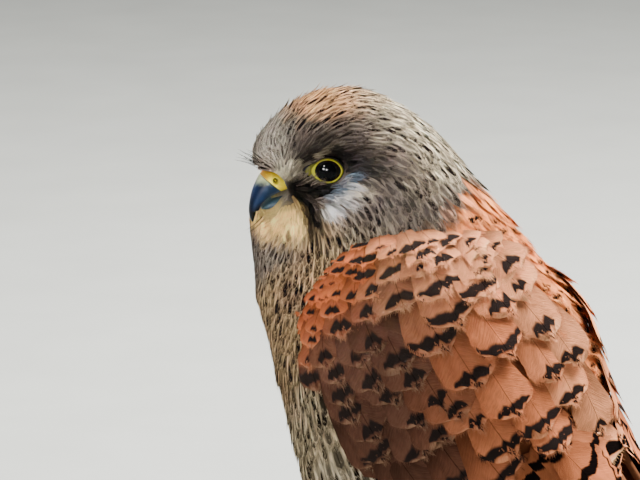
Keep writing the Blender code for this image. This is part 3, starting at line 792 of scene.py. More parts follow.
@dataclass(frozen=True)
class PlainFinish:
    """One even material with a fine grain, for bristles, claws and the floor."""

    name: str
    colour: Colour
    roughness: float
    grain: float = 1.0

    def build(self) -> Any:
        """The material's nodes.

        Returns:
            The material.
        """
        g = Graph(self.name)
        grain = g.noise(g.place(), self.grain, 3.0)
        colour = g.lit(self.colour, 0.92 + 0.16 * grain)
        return g.finish(colour, self.roughness, 0.1, (grain, 0.0001, 0.3))


def placed_object(name: str, data: Any) -> Any:
    """A new object in the scene.

    Args:
        name: Its name.
        data: Its mesh, light or camera.

    Returns:
        The object.
    """
    made = bpy.data.objects.new(name, data)
    bpy.context.scene.collection.objects.link(made)
    return made


@dataclass
class MeshStock:
    """Points, faces and point data gathered for one piece."""

    points: list[Array] = field(default_factory=list)
    quads: list[Array] = field(default_factory=list)
    tris: list[Array] = field(default_factory=list)
    layers: dict[str, list[Array]] = field(default_factory=dict)
    patches: list[Array] = field(default_factory=list)
    count: int = 0

    def add(
        self, points: Array, quads: Array, tris: Array, layers: dict[str, Array], patch_uv: Array
    ) -> None:
        """Adds a batch.

        Args:
            points: Points in millimetres, on the unmoved bird.
            quads: Corner numbers of four-sided faces within the batch.
            tris: Corner numbers of triangles within the batch.
            layers: Point data by attribute name.
            patch_uv: Each point's place on the OFBake map.
        """
        self.points.append(points.reshape(-1, 3))
        self.quads.append(quads.reshape(-1, 4) + self.count)
        self.tris.append(tris.reshape(-1, 3) + self.count)
        for key, values in layers.items():
            self.layers.setdefault(key, []).append(values.reshape(len(self.points[-1]), -1))
        self.patches.append(patch_uv.reshape(-1, 2))
        self.count += len(self.points[-1])

    def make(self, name: str, material: Any, mirror: bool = False) -> Any:
        """The finished object, at the frame's origin.

        Args:
            name: The piece's name.
            material: Its material.
            mirror: Whether left and right are swapped.

        Returns:
            The object.
        """
        points = np.concatenate(self.points)
        if mirror:
            points = points * (-1, 1, 1)
        points = (points + STANDS_AT) * MM
        quads, tris = np.concatenate(self.quads), np.concatenate(self.tris)
        if mirror:
            quads, tris = quads[:, ::-1], tris[:, ::-1]
        corners = np.concatenate([quads.ravel(), tris.ravel()])
        starts = np.concatenate([np.arange(len(quads)) * 4, len(quads) * 4 + np.arange(len(tris)) * 3])
        mesh = bpy.data.meshes.new(name)
        mesh.vertices.add(len(points))
        mesh.vertices.foreach_set("co", points.ravel())
        mesh.loops.add(len(corners))
        mesh.loops.foreach_set("vertex_index", corners.astype(np.int32))
        mesh.polygons.add(len(starts))
        mesh.polygons.foreach_set("loop_start", starts.astype(np.int32))
        mesh.update(calc_edges=True)
        for key, values in self.layers.items():
            data, kind, word = np.concatenate(values), "FLOAT_VECTOR", "vector"
            if key == "ground":
                data, kind, word = np.hstack([data, np.ones((len(data), 1))]), "FLOAT_COLOR", "color"
            mesh.attributes.new(key, kind, "POINT").data.foreach_set(word, data.ravel())
        bake = mesh.uv_layers.new(name="OFBake")
        bake.data.foreach_set("uv", np.concatenate(self.patches)[corners].ravel())
        mesh.shade_smooth()
        mesh.materials.append(material)
        return placed_object(name, mesh)


@dataclass(frozen=True)
class VaneCut:
    """How a feather is cut: its mesh lines, outline, bend and loose barbs."""

    stations: int
    columns: int
    hairs: int
    root_wide: float = 0.45
    widest: float = 0.55
    tip_wide: float = 0.30
    point: float = 2.2
    lean: float = 0.55
    camber: float = 0.10
    fray: float = 0.08
    hair_reach: float = 1.2
    hair_wide: float = 0.13
    skew: float = 0.0
    side_share: float = 0.5
    split: float = 0.06

    def outline(self, q: Array) -> Array:
        """Half width along the feather, 1 at the widest.

        Args:
            q: Places from root to tip.

        Returns:
            Half widths.
        """
        grow = self.root_wide + (1 - self.root_wide) * smooth(q / self.widest)
        over = np.clip((q - self.widest) / (1 - self.widest), 0, 1)
        round_off = (1 - over**self.point) ** 0.5
        return np.where(q < self.widest, grow, np.maximum(round_off, self.tip_wide))

    def places(self) -> Array:
        """Stations from root to tip, closer at the tip."""
        q = np.linspace(0, 1, self.stations)
        return q + 0.12 * np.sin(q * math.pi)

    def faces(self) -> tuple[Array, Array]:
        """Corner numbers of one feather's quads and of its loose barbs.

        Returns:
            Quads, and triangles.
        """
        s, k = self.stations, self.columns
        a = np.arange((s - 1) * k).reshape(s - 1, k)[:, :-1].ravel()
        quads = xyz(a, a + k, a + k + 1, a + 1)
        hairs = s * k + np.arange(2 * self.hairs)[:, None] * 3 + np.arange(3)
        return quads, hairs.reshape(-1, 3)


@dataclass
class Feathers:
    """A batch of like feathers, each along its own path."""

    cut: VaneCut
    path: Array
    normal: Array
    half: Array
    roll: Array
    ground: Array
    marks: Array
    root_uv: Array
    hair: float
    seed: int

    def build(self, stock: MeshStock) -> None:
        """Adds the batch to a stock.

        Args:
            stock: Where the points and faces go.
        """
        cut, chance = self.cut, np.random.default_rng(self.seed)
        count, stations = self.path.shape[:2]
        q = cut.places()
        along = unit(np.gradient(self.path, axis=1))
        side = unit(np.cross(self.normal, along))
        length = np.linalg.norm(np.diff(self.path, axis=1), axis=2).sum(axis=1)
        half = self.half[:, None] * cut.outline(q)[None, :]
        c = np.linspace(-1, 1, cut.columns)
        reach = half[:, :, None] * np.ones_like(c)
        ragged = 1 + cut.fray * chance.uniform(-1, 1, (count, stations, cut.columns)) * (np.abs(c) > 0.99)
        sideways = reach * c * ragged * (1 + cut.skew * np.sign(c))
        late, whole = q[:, None], self.half[:, None, None]
        forward = cut.lean * np.abs(c) * half[:, :, None] * (1 - 0.6 * late**2)
        clump = chance.normal(0, cut.split, (count, 1, cut.columns)) * whole
        forward = forward - cut.lean * 0.5 * whole * late**3 * np.abs(c) ** 2 + clump * late**3
        drop = cut.camber * reach * c**2 + self.roll[:, None, None] * sideways
        points = (
            self.path[:, :, None]
            + side[:, :, None] * sideways[..., None]
            + along[:, :, None] * forward[..., None]
            - self.normal[:, :, None] * drop[..., None]
        )
        spot = xyz(q[None, :, None], c + 0 * points[..., 0])
        hair_points, hair_spot = self.hairs(points, side, along, q, chance)
        everything = np.concatenate([points.reshape(count, -1, 3), hair_points], axis=1)
        spot = np.concatenate([spot.reshape(count, -1, 2), hair_spot], axis=1)
        each = everything.shape[1]
        quads, tris = cut.faces()
        start = (np.arange(count) * each)[:, None, None]

        def spread(values: Array) -> Array:
            """One value a feather, repeated for each of its points."""
            return np.repeat(values[:, None], each, axis=1)

        along, across = spot[..., 0], spot[..., 1]
        x = np.abs(across) * spread(self.half) * cut.outline(along)
        fine = np.linspace(cut.widest, 1, 60)
        ends = np.interp(-x / spread(self.half), -cut.outline(fine), fine)
        tip = (ends - along).clip(0) * spread(length)
        lie = xyz(x, tip, spread(chance.uniform(0, 1, count)))
        span = xyz(along * spread(length), spread(self.half), spread(length))
        layers = {"lie": lie, "ground": spread(self.ground), "marks": spread(self.marks), "span": span}
        bake = spread(self.root_uv) + PATCH * xyz(across * 0.9, along * 2 - 1)
        stock.add(everything, quads[None] + start, tris[None] + start, layers, bake)

    def hairs(self, points: Array, side: Array, along: Array, q: Array, chance: Any) -> tuple[Array, Array]:
        """Loose barbs along both edges and the tip, one thin triangle each.

        Args:
            points: The vanes' points, station by station.
            side: Sideways directions at the stations.
            along: Forward directions at the stations.
            q: The stations' places.
            chance: The draw of chances.

        Returns:
            The barbs' points, and their places along and across the vane.
        """
        cut = self.cut
        count = len(points)
        if not cut.hairs:
            return np.zeros((count, 0, 3)), np.zeros((count, 0, 2))
        spots, lies = [], []
        last, middle = cut.stations - 1, (cut.columns - 1) / 2
        for hand in (-1, 1):
            edge = middle + middle * hand
            for i in range(cut.hairs):
                f = (i + 0.5) / cut.hairs
                # From half way up one side, round the corner, to the middle of the tip.
                row = min(0.5 + 0.5 * f / cut.side_share, 1.0) * last
                inwards = max(0.0, (f - cut.side_share) / (1 - cut.side_share))
                column = middle + (edge - middle) * (1 - inwards)
                low, left = min(int(row), last - 1), min(int(column), cut.columns - 2)
                down, right = row - low, column - left
                corners = ((0, 0), (1, 0), (0, 1), (1, 1))
                base = sum(
                    points[:, low + m, left + n] * (down if m else 1 - down) * (right if n else 1 - right)
                    for m, n in corners
                )
                t, c = q[low] * (1 - down) + q[low + 1] * down, hand * (1 - inwards)
                out = 0.42 * (1 - inwards) + 0.05
                way = unit(along[:, low] + side[:, low] * hand * out + chance.normal(0, 0.13, (count, 3)))
                wide = unit(np.cross(self.normal[:, low], way)) * cut.hair_wide
                reach = self.hair * cut.hair_reach * chance.uniform(0.4, 1.3, (count, 1))
                root = base - way * 0.8 * self.hair
                spots += [root - wide, base + way * reach, root + wide]
                lies += [(max(t - 0.1, 0), c * 0.9), (t, c), (max(t - 0.1, 0), c * 0.9)]
        made = np.stack(spots, axis=1)
        return made, np.broadcast_to(np.array(lies, float), made.shape[:2] + (2,)).copy()


@dataclass(frozen=True)
class HeadMarks:
    """The head's and body's colours by place on the plumage, the same for skin and coat."""

    grey: Colour = linear(141, 127, 114)
    slate: Colour = linear(50, 46, 44)
    rufous: Colour = linear(255, 192, 136)
    cream: Colour = linear(242, 224, 192)
    frost: Colour = linear(192, 180, 164)
    white: Colour = linear(255, 255, 250)
    blue: Colour = linear(116, 138, 158)
    black: Colour = linear(8, 7, 7)
    throat: Colour = linear(255, 205, 128)
    neck: Colour = linear(204, 168, 124)
    breast: Colour = linear(226, 202, 164)
    belly: Colour = linear(240, 232, 214)
    mantle: Colour = linear(232, 138, 84)
    rump: Colour = linear(150, 132, 120)
    # The face's marks in the order in which they are laid, in millimetres ahead of and above
    # the eye: paint, strength, a line's points or an oval's middle, size and tilt, a line's half
    # width, streaks and pale edge.
    face: tuple = (
        ("slate", 0.9, ((-2, 8.5), (15, 5.5), -10), 0, 0.9, 0.1),
        ("black", 0.75, ((5.0, 5.5), (5.0, 3.6), -20), 0, 0.6, 0.05),
        ("black", 0.8, ((8.0, 0.6), (6.0, 2.6), (3.0, 4.8)), 1.5, 0.4, 0.05),
        ("cream", 0.25, ((1, 5.0), (-4, 8.0), (-8, 9.4)), 0.8, 0.5, 0.3),
        ("black", 1, ((-4, 4.4), (-10, 4.0), (-19, 1.4)), 5.2, 0.5, 0.05),
        ("slate", 0.85, ((-22, 0), (11, 5.5), 14), 0, 0.9, 0.25),
        ("cream", 1, ((12.6, -0.6), (4.4, 3.4), -20), 0, 0.1, 0.6),
        ("blue", 1, ((-3.5, -6.6), (-9, -5.0), (-14, -2.4)), 2.2, 0.9, 0.4),
        ("white", 1, ((-7.0, -12.2), (-10, -10.0), (-15, -7.6)), 3.5, 0.1, 0.8),
        ("cream", 0.8, ((-14, -8.0), (-22, -6.5)), 1.8, 0.5, 0.8),
        ("black", 1, ((9.0, -6.5), (5.0, -9.5), (2.0, -14.0), (-0.5, -18.5)), 4.7, 0.6, 0.0),
        ("black", 1, ((8.5, -6.4), (5.2, -4.6), (0, -5.8), (-3, -5.2)), 2.8, 0.5, 0.0),
        ("grey", 0.6, ((-19, -16), (9, 6), 40), 0, 1.16, 0.6),
    )

    def read(self, row: Array, around: Array) -> tuple[Array, Array]:
        """Ground colours and marks.

        Args:
            row: Places counted in rows of the body.
            around: Angle from the back line, in radians.

        Returns:
            Colours, and marks as streak, pale edge and spot size.
        """
        spot = BODY.straight(row, around)
        ahead, above = BODY.from_eye(spot)
        turn = from_back(around)
        colour = even(self.grey, row.shape)
        streak, pale = np.full(row.shape, 1.16), np.full(row.shape, 0.55)

        def lay(paint: Colour, mask: Array, dark: float, edge: float) -> None:
            """One patch of colour with its own streaks and edges.

            Args:
                paint: The colour.
                mask: Where it lies, from 0 to 1.
                dark: How dark its streaks are.
                edge: How pale its edges are.
            """
            nonlocal colour, streak, pale
            colour = shaded(colour, paint, mask)
            streak, pale = streak + (dark - streak) * mask, pale + (edge - pale) * mask

        starts = 6.2 - 1.1 * smooth((turn - 105) / 35)
        lay(self.neck, smooth((row - starts) / 1.3) * smooth((turn - 62) / 40), 1.3, 0.75)
        hind = smooth((row - 4.9) / 1.5) * (1 - smooth((row - 8.9) / 0.7))
        lay(self.cream, hind * (1 - smooth((turn - 14) / 34)), 1.22, 0.8)
        crown = bell(ahead + 1, 15) * smooth((above - 13) / 6) * (1 - smooth((turn - 38) / 26))
        lay(self.rufous, crown, 1.1, 0.7)
        lay(self.frost, smooth((ahead - 7) / 8) * smooth((above + 1) / 6), 0.8, 0.6)
        throat = smooth((ahead - 2 - 0.30 * (above + 10)) / 8) * smooth((-9.5 - above) / 3)
        lay(self.throat, throat * smooth((above + 26) / 8), 0.1, 0.3)
        for paint, strength, shape, width, dark, edge in self.face:
            mask = stroke(ahead, above, shape, width) if width else patch(ahead, above, *shape)
            lay(getattr(self, paint), strength * mask, dark, edge)
        lay(self.breast, smooth((row - 9.4) / 1.2) * smooth((turn - 60) / 20), 1.15, 0.6)
        lay(self.belly, smooth((row - 11.2) / 2.5) * smooth((turn - 90) / 40), 1.0, 0.5)
        mantle = smooth((row - 9.3 - 0.011 * turn) / 0.5) * (1 - smooth((turn - 60) / 12))
        lay(self.mantle, mantle, 0.1, 0.6)
        lay(self.rump, smooth((row - 14.5) / 1.5) * (1 - smooth((turn - 70) / 12)), 0.8, 0.3)
        return colour, xyz(streak, pale, 0 * pale)


MARKS = HeadMarks()


@dataclass(frozen=True)
class CoatZone:
    """A stretch of body feathers, spread evenly over the plumage."""

    name: str
    rows: Pair
    pitch: float
    stride: float
    cut: VaneCut
    turns: Pair = (0.0, 180.0)
    slimness: float = 0.36
    uneven: float = 0.16
    spots: float = 0.0
    seed: int = 1


@dataclass(frozen=True)
class BodyCoat:
    """The small feathers of head, neck, breast, back and belly, with depth and length by row."""

    finish: Any
    back_finish: Any
    coat_depth: tuple = ((0, 0.5), (3, 0.9), (6, 1.3), (8, 1.9), (10, 2.4), (17, 2.6))
    feather_length: tuple = ((0, 2.4), (2, 4), (4, 6.6), (6, 8), (8, 11), (10, 13), (17, 14))

    @classmethod
    def depth(cls, row: Array) -> Array:
        """How deep the skin lies under the plumage."""
        return np.interp(row, *zip(*cls.coat_depth))

    def roots(self, zone: CoatZone) -> tuple[Array, Array]:
        """Evenly scattered roots as rows and angles.

        Args:
            zone: The zone.

        Returns:
            Rows, and angles.
        """
        chance = np.random.default_rng(zone.seed)
        rows, turns, row, sides = [], [], zone.rows[0], np.array([1.2, 4.2])
        fine = np.linspace(0, math.tau, 361)
        while row < zone.rows[1]:
            ring = BODY.points(np.full(361, row), fine)
            arc = np.concatenate([[0], np.cumsum(np.linalg.norm(np.diff(ring, axis=0), axis=1))])
            count = max(6, int(arc[-1] / zone.pitch))
            spots = (np.arange(count) + chance.uniform(0, 1) + chance.uniform(-0.35, 0.35, count)) / count
            turns.append(np.interp((spots % 1) * arc[-1], arc, fine))
            ahead = BODY.points(np.full(2, row + 0.05), sides) - BODY.points(np.full(2, row), sides)
            step = np.linalg.norm(ahead, axis=1).max() / 0.05
            rows.append(row + chance.uniform(-0.5, 0.5, count) * zone.stride / step)
            row += zone.stride / step
        row, around = np.concatenate(rows), np.concatenate(turns)
        turn = from_back(around)
        keep = (turn >= zone.turns[0]) & (turn <= zone.turns[1]) & self.clear(row, around)
        return row[keep], around[keep]

    @staticmethod
    def clear(row: Array, around: Array) -> Array:
        """True where a root is off the bill and off the bare ring of the eye.

        Args:
            row: Places counted in rows of the body.
            around: Angles from the back line, in radians.

        Returns:
            True or false for each.
        """
        spot = BODY.straight(row, around)
        ahead, above = BODY.from_eye(spot, BODY.ring_ahead)
        ring = (ahead / 4.7) ** 2 + (above / np.where(above > 0, 3.7, 4.2)) ** 2
        corner = ((ahead - 7.0) / 3.4) ** 2 + ((above + 0.4) / 1.9) ** 2
        side = np.abs(spot[..., 0]) > 6.0
        off_bill = spot[..., 1] > BODY.bill_edge(spot[..., 2]) + 0.25
        return off_bill & ~(side & ((ring < 1) | (corner < 1)))

    def build(self, zone: CoatZone) -> Any:
        """One zone's feathers as a piece.

        Args:
            zone: The zone.

        Returns:
            The piece.
        """
        row, around = self.roots(zone)
        chance = np.random.default_rng(zone.seed + 100)
        spot = BODY.straight(row, around)
        ahead, above = BODY.from_eye(spot, BODY.ring_ahead)
        near_eye = bell(np.hypot(ahead, above), 8.5) * (np.abs(spot[..., 0]) > 5)
        length = np.interp(row, *zip(*self.feather_length)) * (1 - 0.5 * near_eye)
        length = length * chance.uniform(0.8, 1.2, len(row))
        drow, dturn = BODY.lie(row, around)
        wander = chance.normal(0, 0.10, len(row))
        along, across = BODY.tangents(row, around, False)
        ratio = np.linalg.norm(along, axis=-1) / (np.linalg.norm(across, axis=-1) + 1e-6)
        drow, dturn = drow - wander * dturn / (ratio + 1e-6), dturn + wander * drow * ratio
        q = zone.cut.places()
        for _ in range(2):
            rows = np.clip(row[:, None] + drow[:, None] * length[:, None] * q, 0.0, LAST_ROW)
            turns = around[:, None] + dturn[:, None] * length[:, None] * q
            # A feather whose path runs onto the bare ring is cut short before it.
            bare = ~self.clear(rows, turns)
            stop = q[bare.argmax(axis=1)] - 0.06
            length = np.where(bare.any(axis=1), length * np.clip(stop, 0.3, 1.0), length)
        path, normal = BODY.points(rows, turns), BODY.normals(rows, turns)
        proud = chance.uniform(-0.3, 0.6, len(row)) * np.interp(row, (0, 3, 6, 10), (0.35, 0.7, 1.0, 1.0))
        turn = from_back(around)
        proud = proud - np.interp(row, (0, 3, 5), (0.5, 0.5, 0.0))
        if zone.spots:
            # The back's middle rises so that no gap shows between the wings.
            between = smooth((row - 10.3) / 1.2) * (1 - smooth((row - 14.2) / 1.2))
            proud = proud + 3.2 * between * (1 - smooth((turn - 8) / 22))
        crown = bell(row - 3.6, 2.2) * (1 - smooth((turn - 18) / 22))
        tuft = crown * chance.uniform(0, 1.0, len(row)) ** 4 * 2.2
        deep = self.depth(rows)
        power = np.interp(row, (0, 7, 10), (0.5, 0.45, 0.8))[:, None]
        rise = -deep + (deep + proud[:, None]) * q**power + tuft[:, None] * q**3
        path = path + normal * rise[..., None]
        # Colours are read where the feather shows, not at its root.
        shown = int(0.75 * len(q))
        ground, marks = MARKS.read(rows[:, shown], turns[:, shown])
        ground = ground * chance.uniform(1 - zone.uneven, 1 + zone.uneven, (len(row), 1))
        # Feathers also cling together in darker and lighter clumps.
        clump = np.sin(17 * around + 2 * np.sin(4.1 * row)) * np.sin(7.3 * row + 5 * around)
        ground = ground * (1 + 0.2 * clump * smooth((row - 2.5) / 3))[:, None]
        marks[:, 0] *= chance.uniform(0.6, 1.0, len(row))
        if zone.spots:
            marks[:, 2] = zone.spots * chance.uniform(0.7, 1.2, len(row))
        else:
            marks[:, 1] *= 0.35
        half = length * zone.slimness * chance.uniform(0.85, 1.15, len(row)) / 2
        low, high = zone.rows
        uv = xyz((around / math.tau) % 1, (row - low) / (high - low)) * 0.98 + 0.01
        roll, hair = chance.normal(0, 0.10, len(row)), float(length.mean()) * 0.14
        stock = MeshStock()
        Feathers(zone.cut, path, normal, half, roll, ground, marks, uv, hair, zone.seed + 200).build(stock)
        return stock.make(zone.name, self.back_finish if zone.spots else self.finish)


@dataclass
class Skin:
    """One closed skin under head, neck, torso and shins, inside their solids."""

    rings: int = 150
    around: int = 120
    shin_rows: tuple = (
        ((17.0, -8.0, 108.0), 11.5, 15.0),
        ((18.0, -5.0, 92.0), 11.3, 14.5),
        ((18.8, 0.0, 78.0), 10.5, 12.5),
        ((19.3, 4.5, 65.0), 7.2, 8.6),
        ((19.6, 8.0, 54.0), 4.6, 5.6),
        ((19.8, 9.5, 48.0), 3.4, 4.2),
    )
    shin_depth: float = 1.3

    def build(self, finish: Any) -> Any:
        """The skin with its colours.

        Args:
            finish: Its material.

        Returns:
            The piece.
        """
        stock = MeshStock()
        row, around = np.meshgrid(np.linspace(0, LAST_ROW, self.rings), circle(self.around), indexing="ij")
        points = BODY.straight(row, around)
        points[..., 1] = np.maximum(points[..., 1], BODY.bill_edge(points[..., 2]))
        points = BODY.turned(points, row) - BODY.normals(row, around) * BodyCoat.depth(row)[..., None]
        ground, _ = MARKS.read(row, around)
        add_rings(stock, points, {"ground": ground})
        for side in Side:
            rings = limb_rings(self.shin_rows, 90, 48, side, -self.shin_depth)
            add_rings(stock, rings, {"ground": even(MARKS.breast, rings.shape[:2])})
        return stock.make("skin", finish)


def limb_table(rows: Sequence) -> Array:
    """Rows of a limb as numbers: centre, half width and half depth."""
    return np.array([[*centre, across, deep] for centre, across, deep in rows], float)


def limb_rings(rows: Sequence, count: int, around: int, side: Side, grow: float = 0.0) -> Array:
    """Level oval rings of a limb through rows of centre, half width and half depth.

    Args:
        rows: The rows.
        count: How many rings.
        around: Points in a ring.
        side: The bird's side.
        grow: What is added to both halves.

    Returns:
        Points, ring by ring.
    """
    made = through(limb_table(rows), np.linspace(0, len(rows) - 1, count))
    turn = circle(around)
    x = (made[:, 0:1] + (made[:, 3:4] + grow) * np.cos(turn)) * side.value
    y = made[:, 1:2] + (made[:, 4:5] + grow) * np.sin(turn)
    return xyz(x, y, made[:, 2:3])


def add_rings(stock: MeshStock, rings: Array, layers: dict[str, Array], hoop: bool = False) -> None:
    """Adds a closed skin over rings of equal count.

    Args:
        stock: Where it goes.
        rings: Points, ring by ring.
        layers: Point data of the same shape.
        hoop: Whether the last ring meets the first. If not, a point closes each end.
    """
    count, around = rings.shape[:2]
    i, j = np.meshgrid(np.arange(count - (not hoop)), np.arange(around), indexing="ij")
    n, k = (i + 1) % count, (j + 1) % around
    quads = xyz(i * around + j, i * around + k, n * around + k, n * around + j).reshape(-1, 4)
    points = rings.reshape(-1, 3)
    a, b, c, d = (points[quads[:, m]] - points[0] for m in range(4))
    # A signed volume tells whether the faces point outwards.
    inwards = np.sum((np.cross(b - a, c - a) + np.cross(c - a, d - a)) * a) < 0
    u, v = np.meshgrid(np.linspace(0, 1, around), np.linspace(0, 1, count))
    uv, caps = xyz(u, v).reshape(-1, 2), np.zeros((0, 3), int)
    data = {key: values.reshape(len(points), -1) for key, values in layers.items()}
    if not hoop:
        j, last = np.arange(around), (count - 1) * around
        k = (j + 1) % around
        caps = np.concatenate([xyz(len(points), k, j), xyz(len(points) + 1, last + j, last + k)])
        uv = np.concatenate([uv, [[0.5, 0.0], [0.5, 1.0]]])
        for key, values in {"": rings, **layers}.items():
            ends = [values[:1].mean(axis=1), values[-1:].mean(axis=1)]
            data[key] = np.concatenate([values.reshape(-1, values.shape[-1]), *ends])
        points = data.pop("")
    if inwards:
        quads, caps = quads[:, ::-1], caps[:, ::-1]
    stock.add(points, quads, caps, data, uv * 0.98 + 0.01)


def ring_piece(name: str, rings: Array, layers: dict[str, Array], finish: Any, hoop: bool = False) -> Any:
    """One piece over rings, as an object.

    Args:
        name: The piece's name.
        rings: Points, ring by ring.
        layers: Point data of the same shape.
        finish: Its material.
        hoop: Whether the last ring meets the first.

    Returns:
        The object.
    """
    stock = MeshStock()
    add_rings(stock, rings, layers, hoop)
    return stock.make(name, finish)


@dataclass(frozen=True)
class WingForm:
    """The folded wing's sheet as in the solids, four points across, lower edge first."""

    on_body: tuple = (
        ((8.65, 114.0, 2.8), (8.75, 82.0, 3.2), (9.4, 50.0, 2.2), (10.2, 24.0, 0.6)),
        ((10.1, 122.0, 4.2), (10.2, 88.0, 5.4), (10.7, 52.0, 4.2), (11.2, 15.0, 2.2)),
        ((12.4, 118.0, 3.6), (12.2, 86.0, 7.2), (12.3, 52.0, 6.6), (12.6, 9.0, 5.0)),
        ((14.5, 113.0, 5.0), (14.0, 80.0, 8.5), (13.7, 48.0, 8.5), (13.9, 6.5, 6.2)),
    )
    free: tuple = (
        ((32.5, 38.0, 81.0), (35.0, 43.0, 96.0), (26.0, 54.0, 113.0), (4.6, 61.5, 125.0)),
        ((27.0, 70.0, 63.0), (28.0, 75.0, 74.0), (20.0, 82.0, 86.0), (4.2, 86.5, 93.5)),
        ((21.0, 103.0, 44.0), (19.0, 107.0, 51.0), (13.0, 111.5, 57.0), (4.0, 114.0, 60.5)),
        ((15.5, 139.0, 26.0), (12.8, 141.0, 29.4), (8.4, 142.5, 32.0), (3.4, 143.5, 33.5)),
    )

    def sheet(self) -> Sheet:
        """The sheet in millimetres.

        Returns:
            The sheet.
        """
        rows = []
        for row in self.on_body:
            spots = np.array(row)
            place = spots[:, 0], np.radians(spots[:, 1])
            rows.append(BODY.points(*place) + BODY.normals(*place) * spots[:, 2:3])
        return Sheet(np.array(rows + [np.array(row) for row in self.free]))


@dataclass(frozen=True)
class FeatherRow:
    """One row of feathers on a sheet, from its first to its last.

    root and tip are (s, h) places, sizes are millimetres. low and high are the heights
    over the sheet at root and tip, and spot the mark's half width.
    """

    count: int
    root: tuple[Pair, Pair]
    tip: tuple[Pair, Pair]
    width: Pair
    low: float
    high: Pair
    roll: float = 0.1
    spot: Pair = (0.0, 0.0)
    pale: float = 0.8
    streak: float = 0.0
    jitter: float = 0.35
    rise_by: float = 1.0


@dataclass
class SheetCoat:
    """Lays rows of feathers over a sheet, with ground colour and edge drop by place."""

    sheet: Sheet
    seed: int
    tint: Places
    edge: Places | None = None
    chance: Any = field(init=False)

    def __post_init__(self) -> None:
        """Starts the draw of chances."""
        self.chance = np.random.default_rng(self.seed)

    def row(self, plan: FeatherRow, cut: VaneCut, hair: float) -> Feathers:
        """One row of feathers.

        Args:
            plan: The row.
            cut: The feather's mesh.
            hair: Length of its loose barbs.

        Returns:
            The batch, ready to build.
        """
        f = np.linspace(0, 1, plan.count)[:, None] if plan.count > 1 else np.array([[0.5]])
        root = np.array(plan.root[0]) * (1 - f) + np.array(plan.root[1]) * f
        tip = np.array(plan.tip[0]) * (1 - f) + np.array(plan.tip[1]) * f
        wander = self.chance.uniform(-1, 1, (plan.count, 2)) * plan.jitter * (0.02, 0.03)
        f = f[:, 0]
        width = np.interp(f, (0, 1), plan.width) * self.chance.uniform(0.94, 1.06, plan.count)
        high = np.interp(f, (0, 1), plan.high)
        spot = np.interp(f, (0, 1), plan.spot) * self.chance.uniform(0.85, 1.15, plan.count)
        return self.batch(root + wander, tip + wander, width, high, spot, plan, cut, hair)

    def batch(
        self, root: Array, tip: Array, width: Array, high: Array, spot: Array,
        plan: FeatherRow, cut: VaneCut, hair: float,
    ) -> Feathers:
        """Feathers at given roots and tips.

        Args:
            root: Root places (s, h).
            tip: Tip places (s, h).
            width: Full widths.
            high: Height of each tip over the sheet.
            spot: Half width of each mark.
            plan: What the feathers share.
            cut: The feather's mesh.
            hair: Length of the loose barbs.

        Returns:
            The batch.
        """
        count, q = len(root), cut.places()
        s = root[:, :1] + (tip[:, :1] - root[:, :1]) * q
        h = root[:, 1:] + (tip[:, 1:] - root[:, 1:]) * q
        path, normal = self.sheet.at(s, h), self.sheet.normals(s, h)
        rise = plan.low + (high[:, None] - plan.low) * np.clip(q / plan.rise_by, 0, 1) ** 0.8
        rise = rise + self.chance.uniform(-0.12, 0.12, (count, 1))
        if self.edge:
            rise = rise - self.edge(s, h)
        path = path + normal * rise[..., None]
        ground = self.tint(tip[:, 0], tip[:, 1]) * self.chance.uniform(0.84, 1.12, (count, 1))
        marks = xyz(plan.streak, plan.pale, spot)
        self.seed += 1
        roll = plan.roll + self.chance.normal(0, 0.015, count)
        uv = np.clip((root + 0.15) / 1.3, 0.01, 0.99)
        return Feathers(cut, path, normal, width / 2, roll, ground, marks, uv, hair, self.seed)

    def pad(self, stock: MeshStock, reach: Pair, deep: Pair, sink: float) -> None:
        """The limb under the feathers: a pillow with round edges.

        Args:
            stock: Where it goes.
            reach: First and last s.
            deep: Its thickness there.
            sink: How far it lies under the sheet.
        """
        s, h = np.meshgrid(np.linspace(*reach, 50), np.linspace(0.02, 0.98, 36), indexing="ij")
        top, normal = self.sheet.at(s, h), self.sheet.normals(s, h)
        q = smooth((s - reach[0]) / (reach[1] - reach[0]))
        thick = (deep[0] + (deep[1] - deep[0]) * q) * np.minimum(1.0, 4.0 * h * (1 - h) + 0.45)
        lower = top - normal * thick[..., None]
        top = top - normal * (sink + (self.edge(s, h) if self.edge else 0 * s))[..., None]
        rings = np.concatenate([top, lower[:, ::-1]], axis=1)
        s, h = np.concatenate([s, s], axis=1), np.concatenate([h, h[:, ::-1]], axis=1)
        plain = {"lie": (2.0, 9.0, 0.5), "span": (8.0, 6.0, 20.0), "marks": (0.0, 0.0, 0.0)}
        layers = {"ground": self.tint(s, h) * 0.55}
        layers |= {key: even(values, rings.shape[:2]) for key, values in plain.items()}
        add_rings(stock, rings, layers)


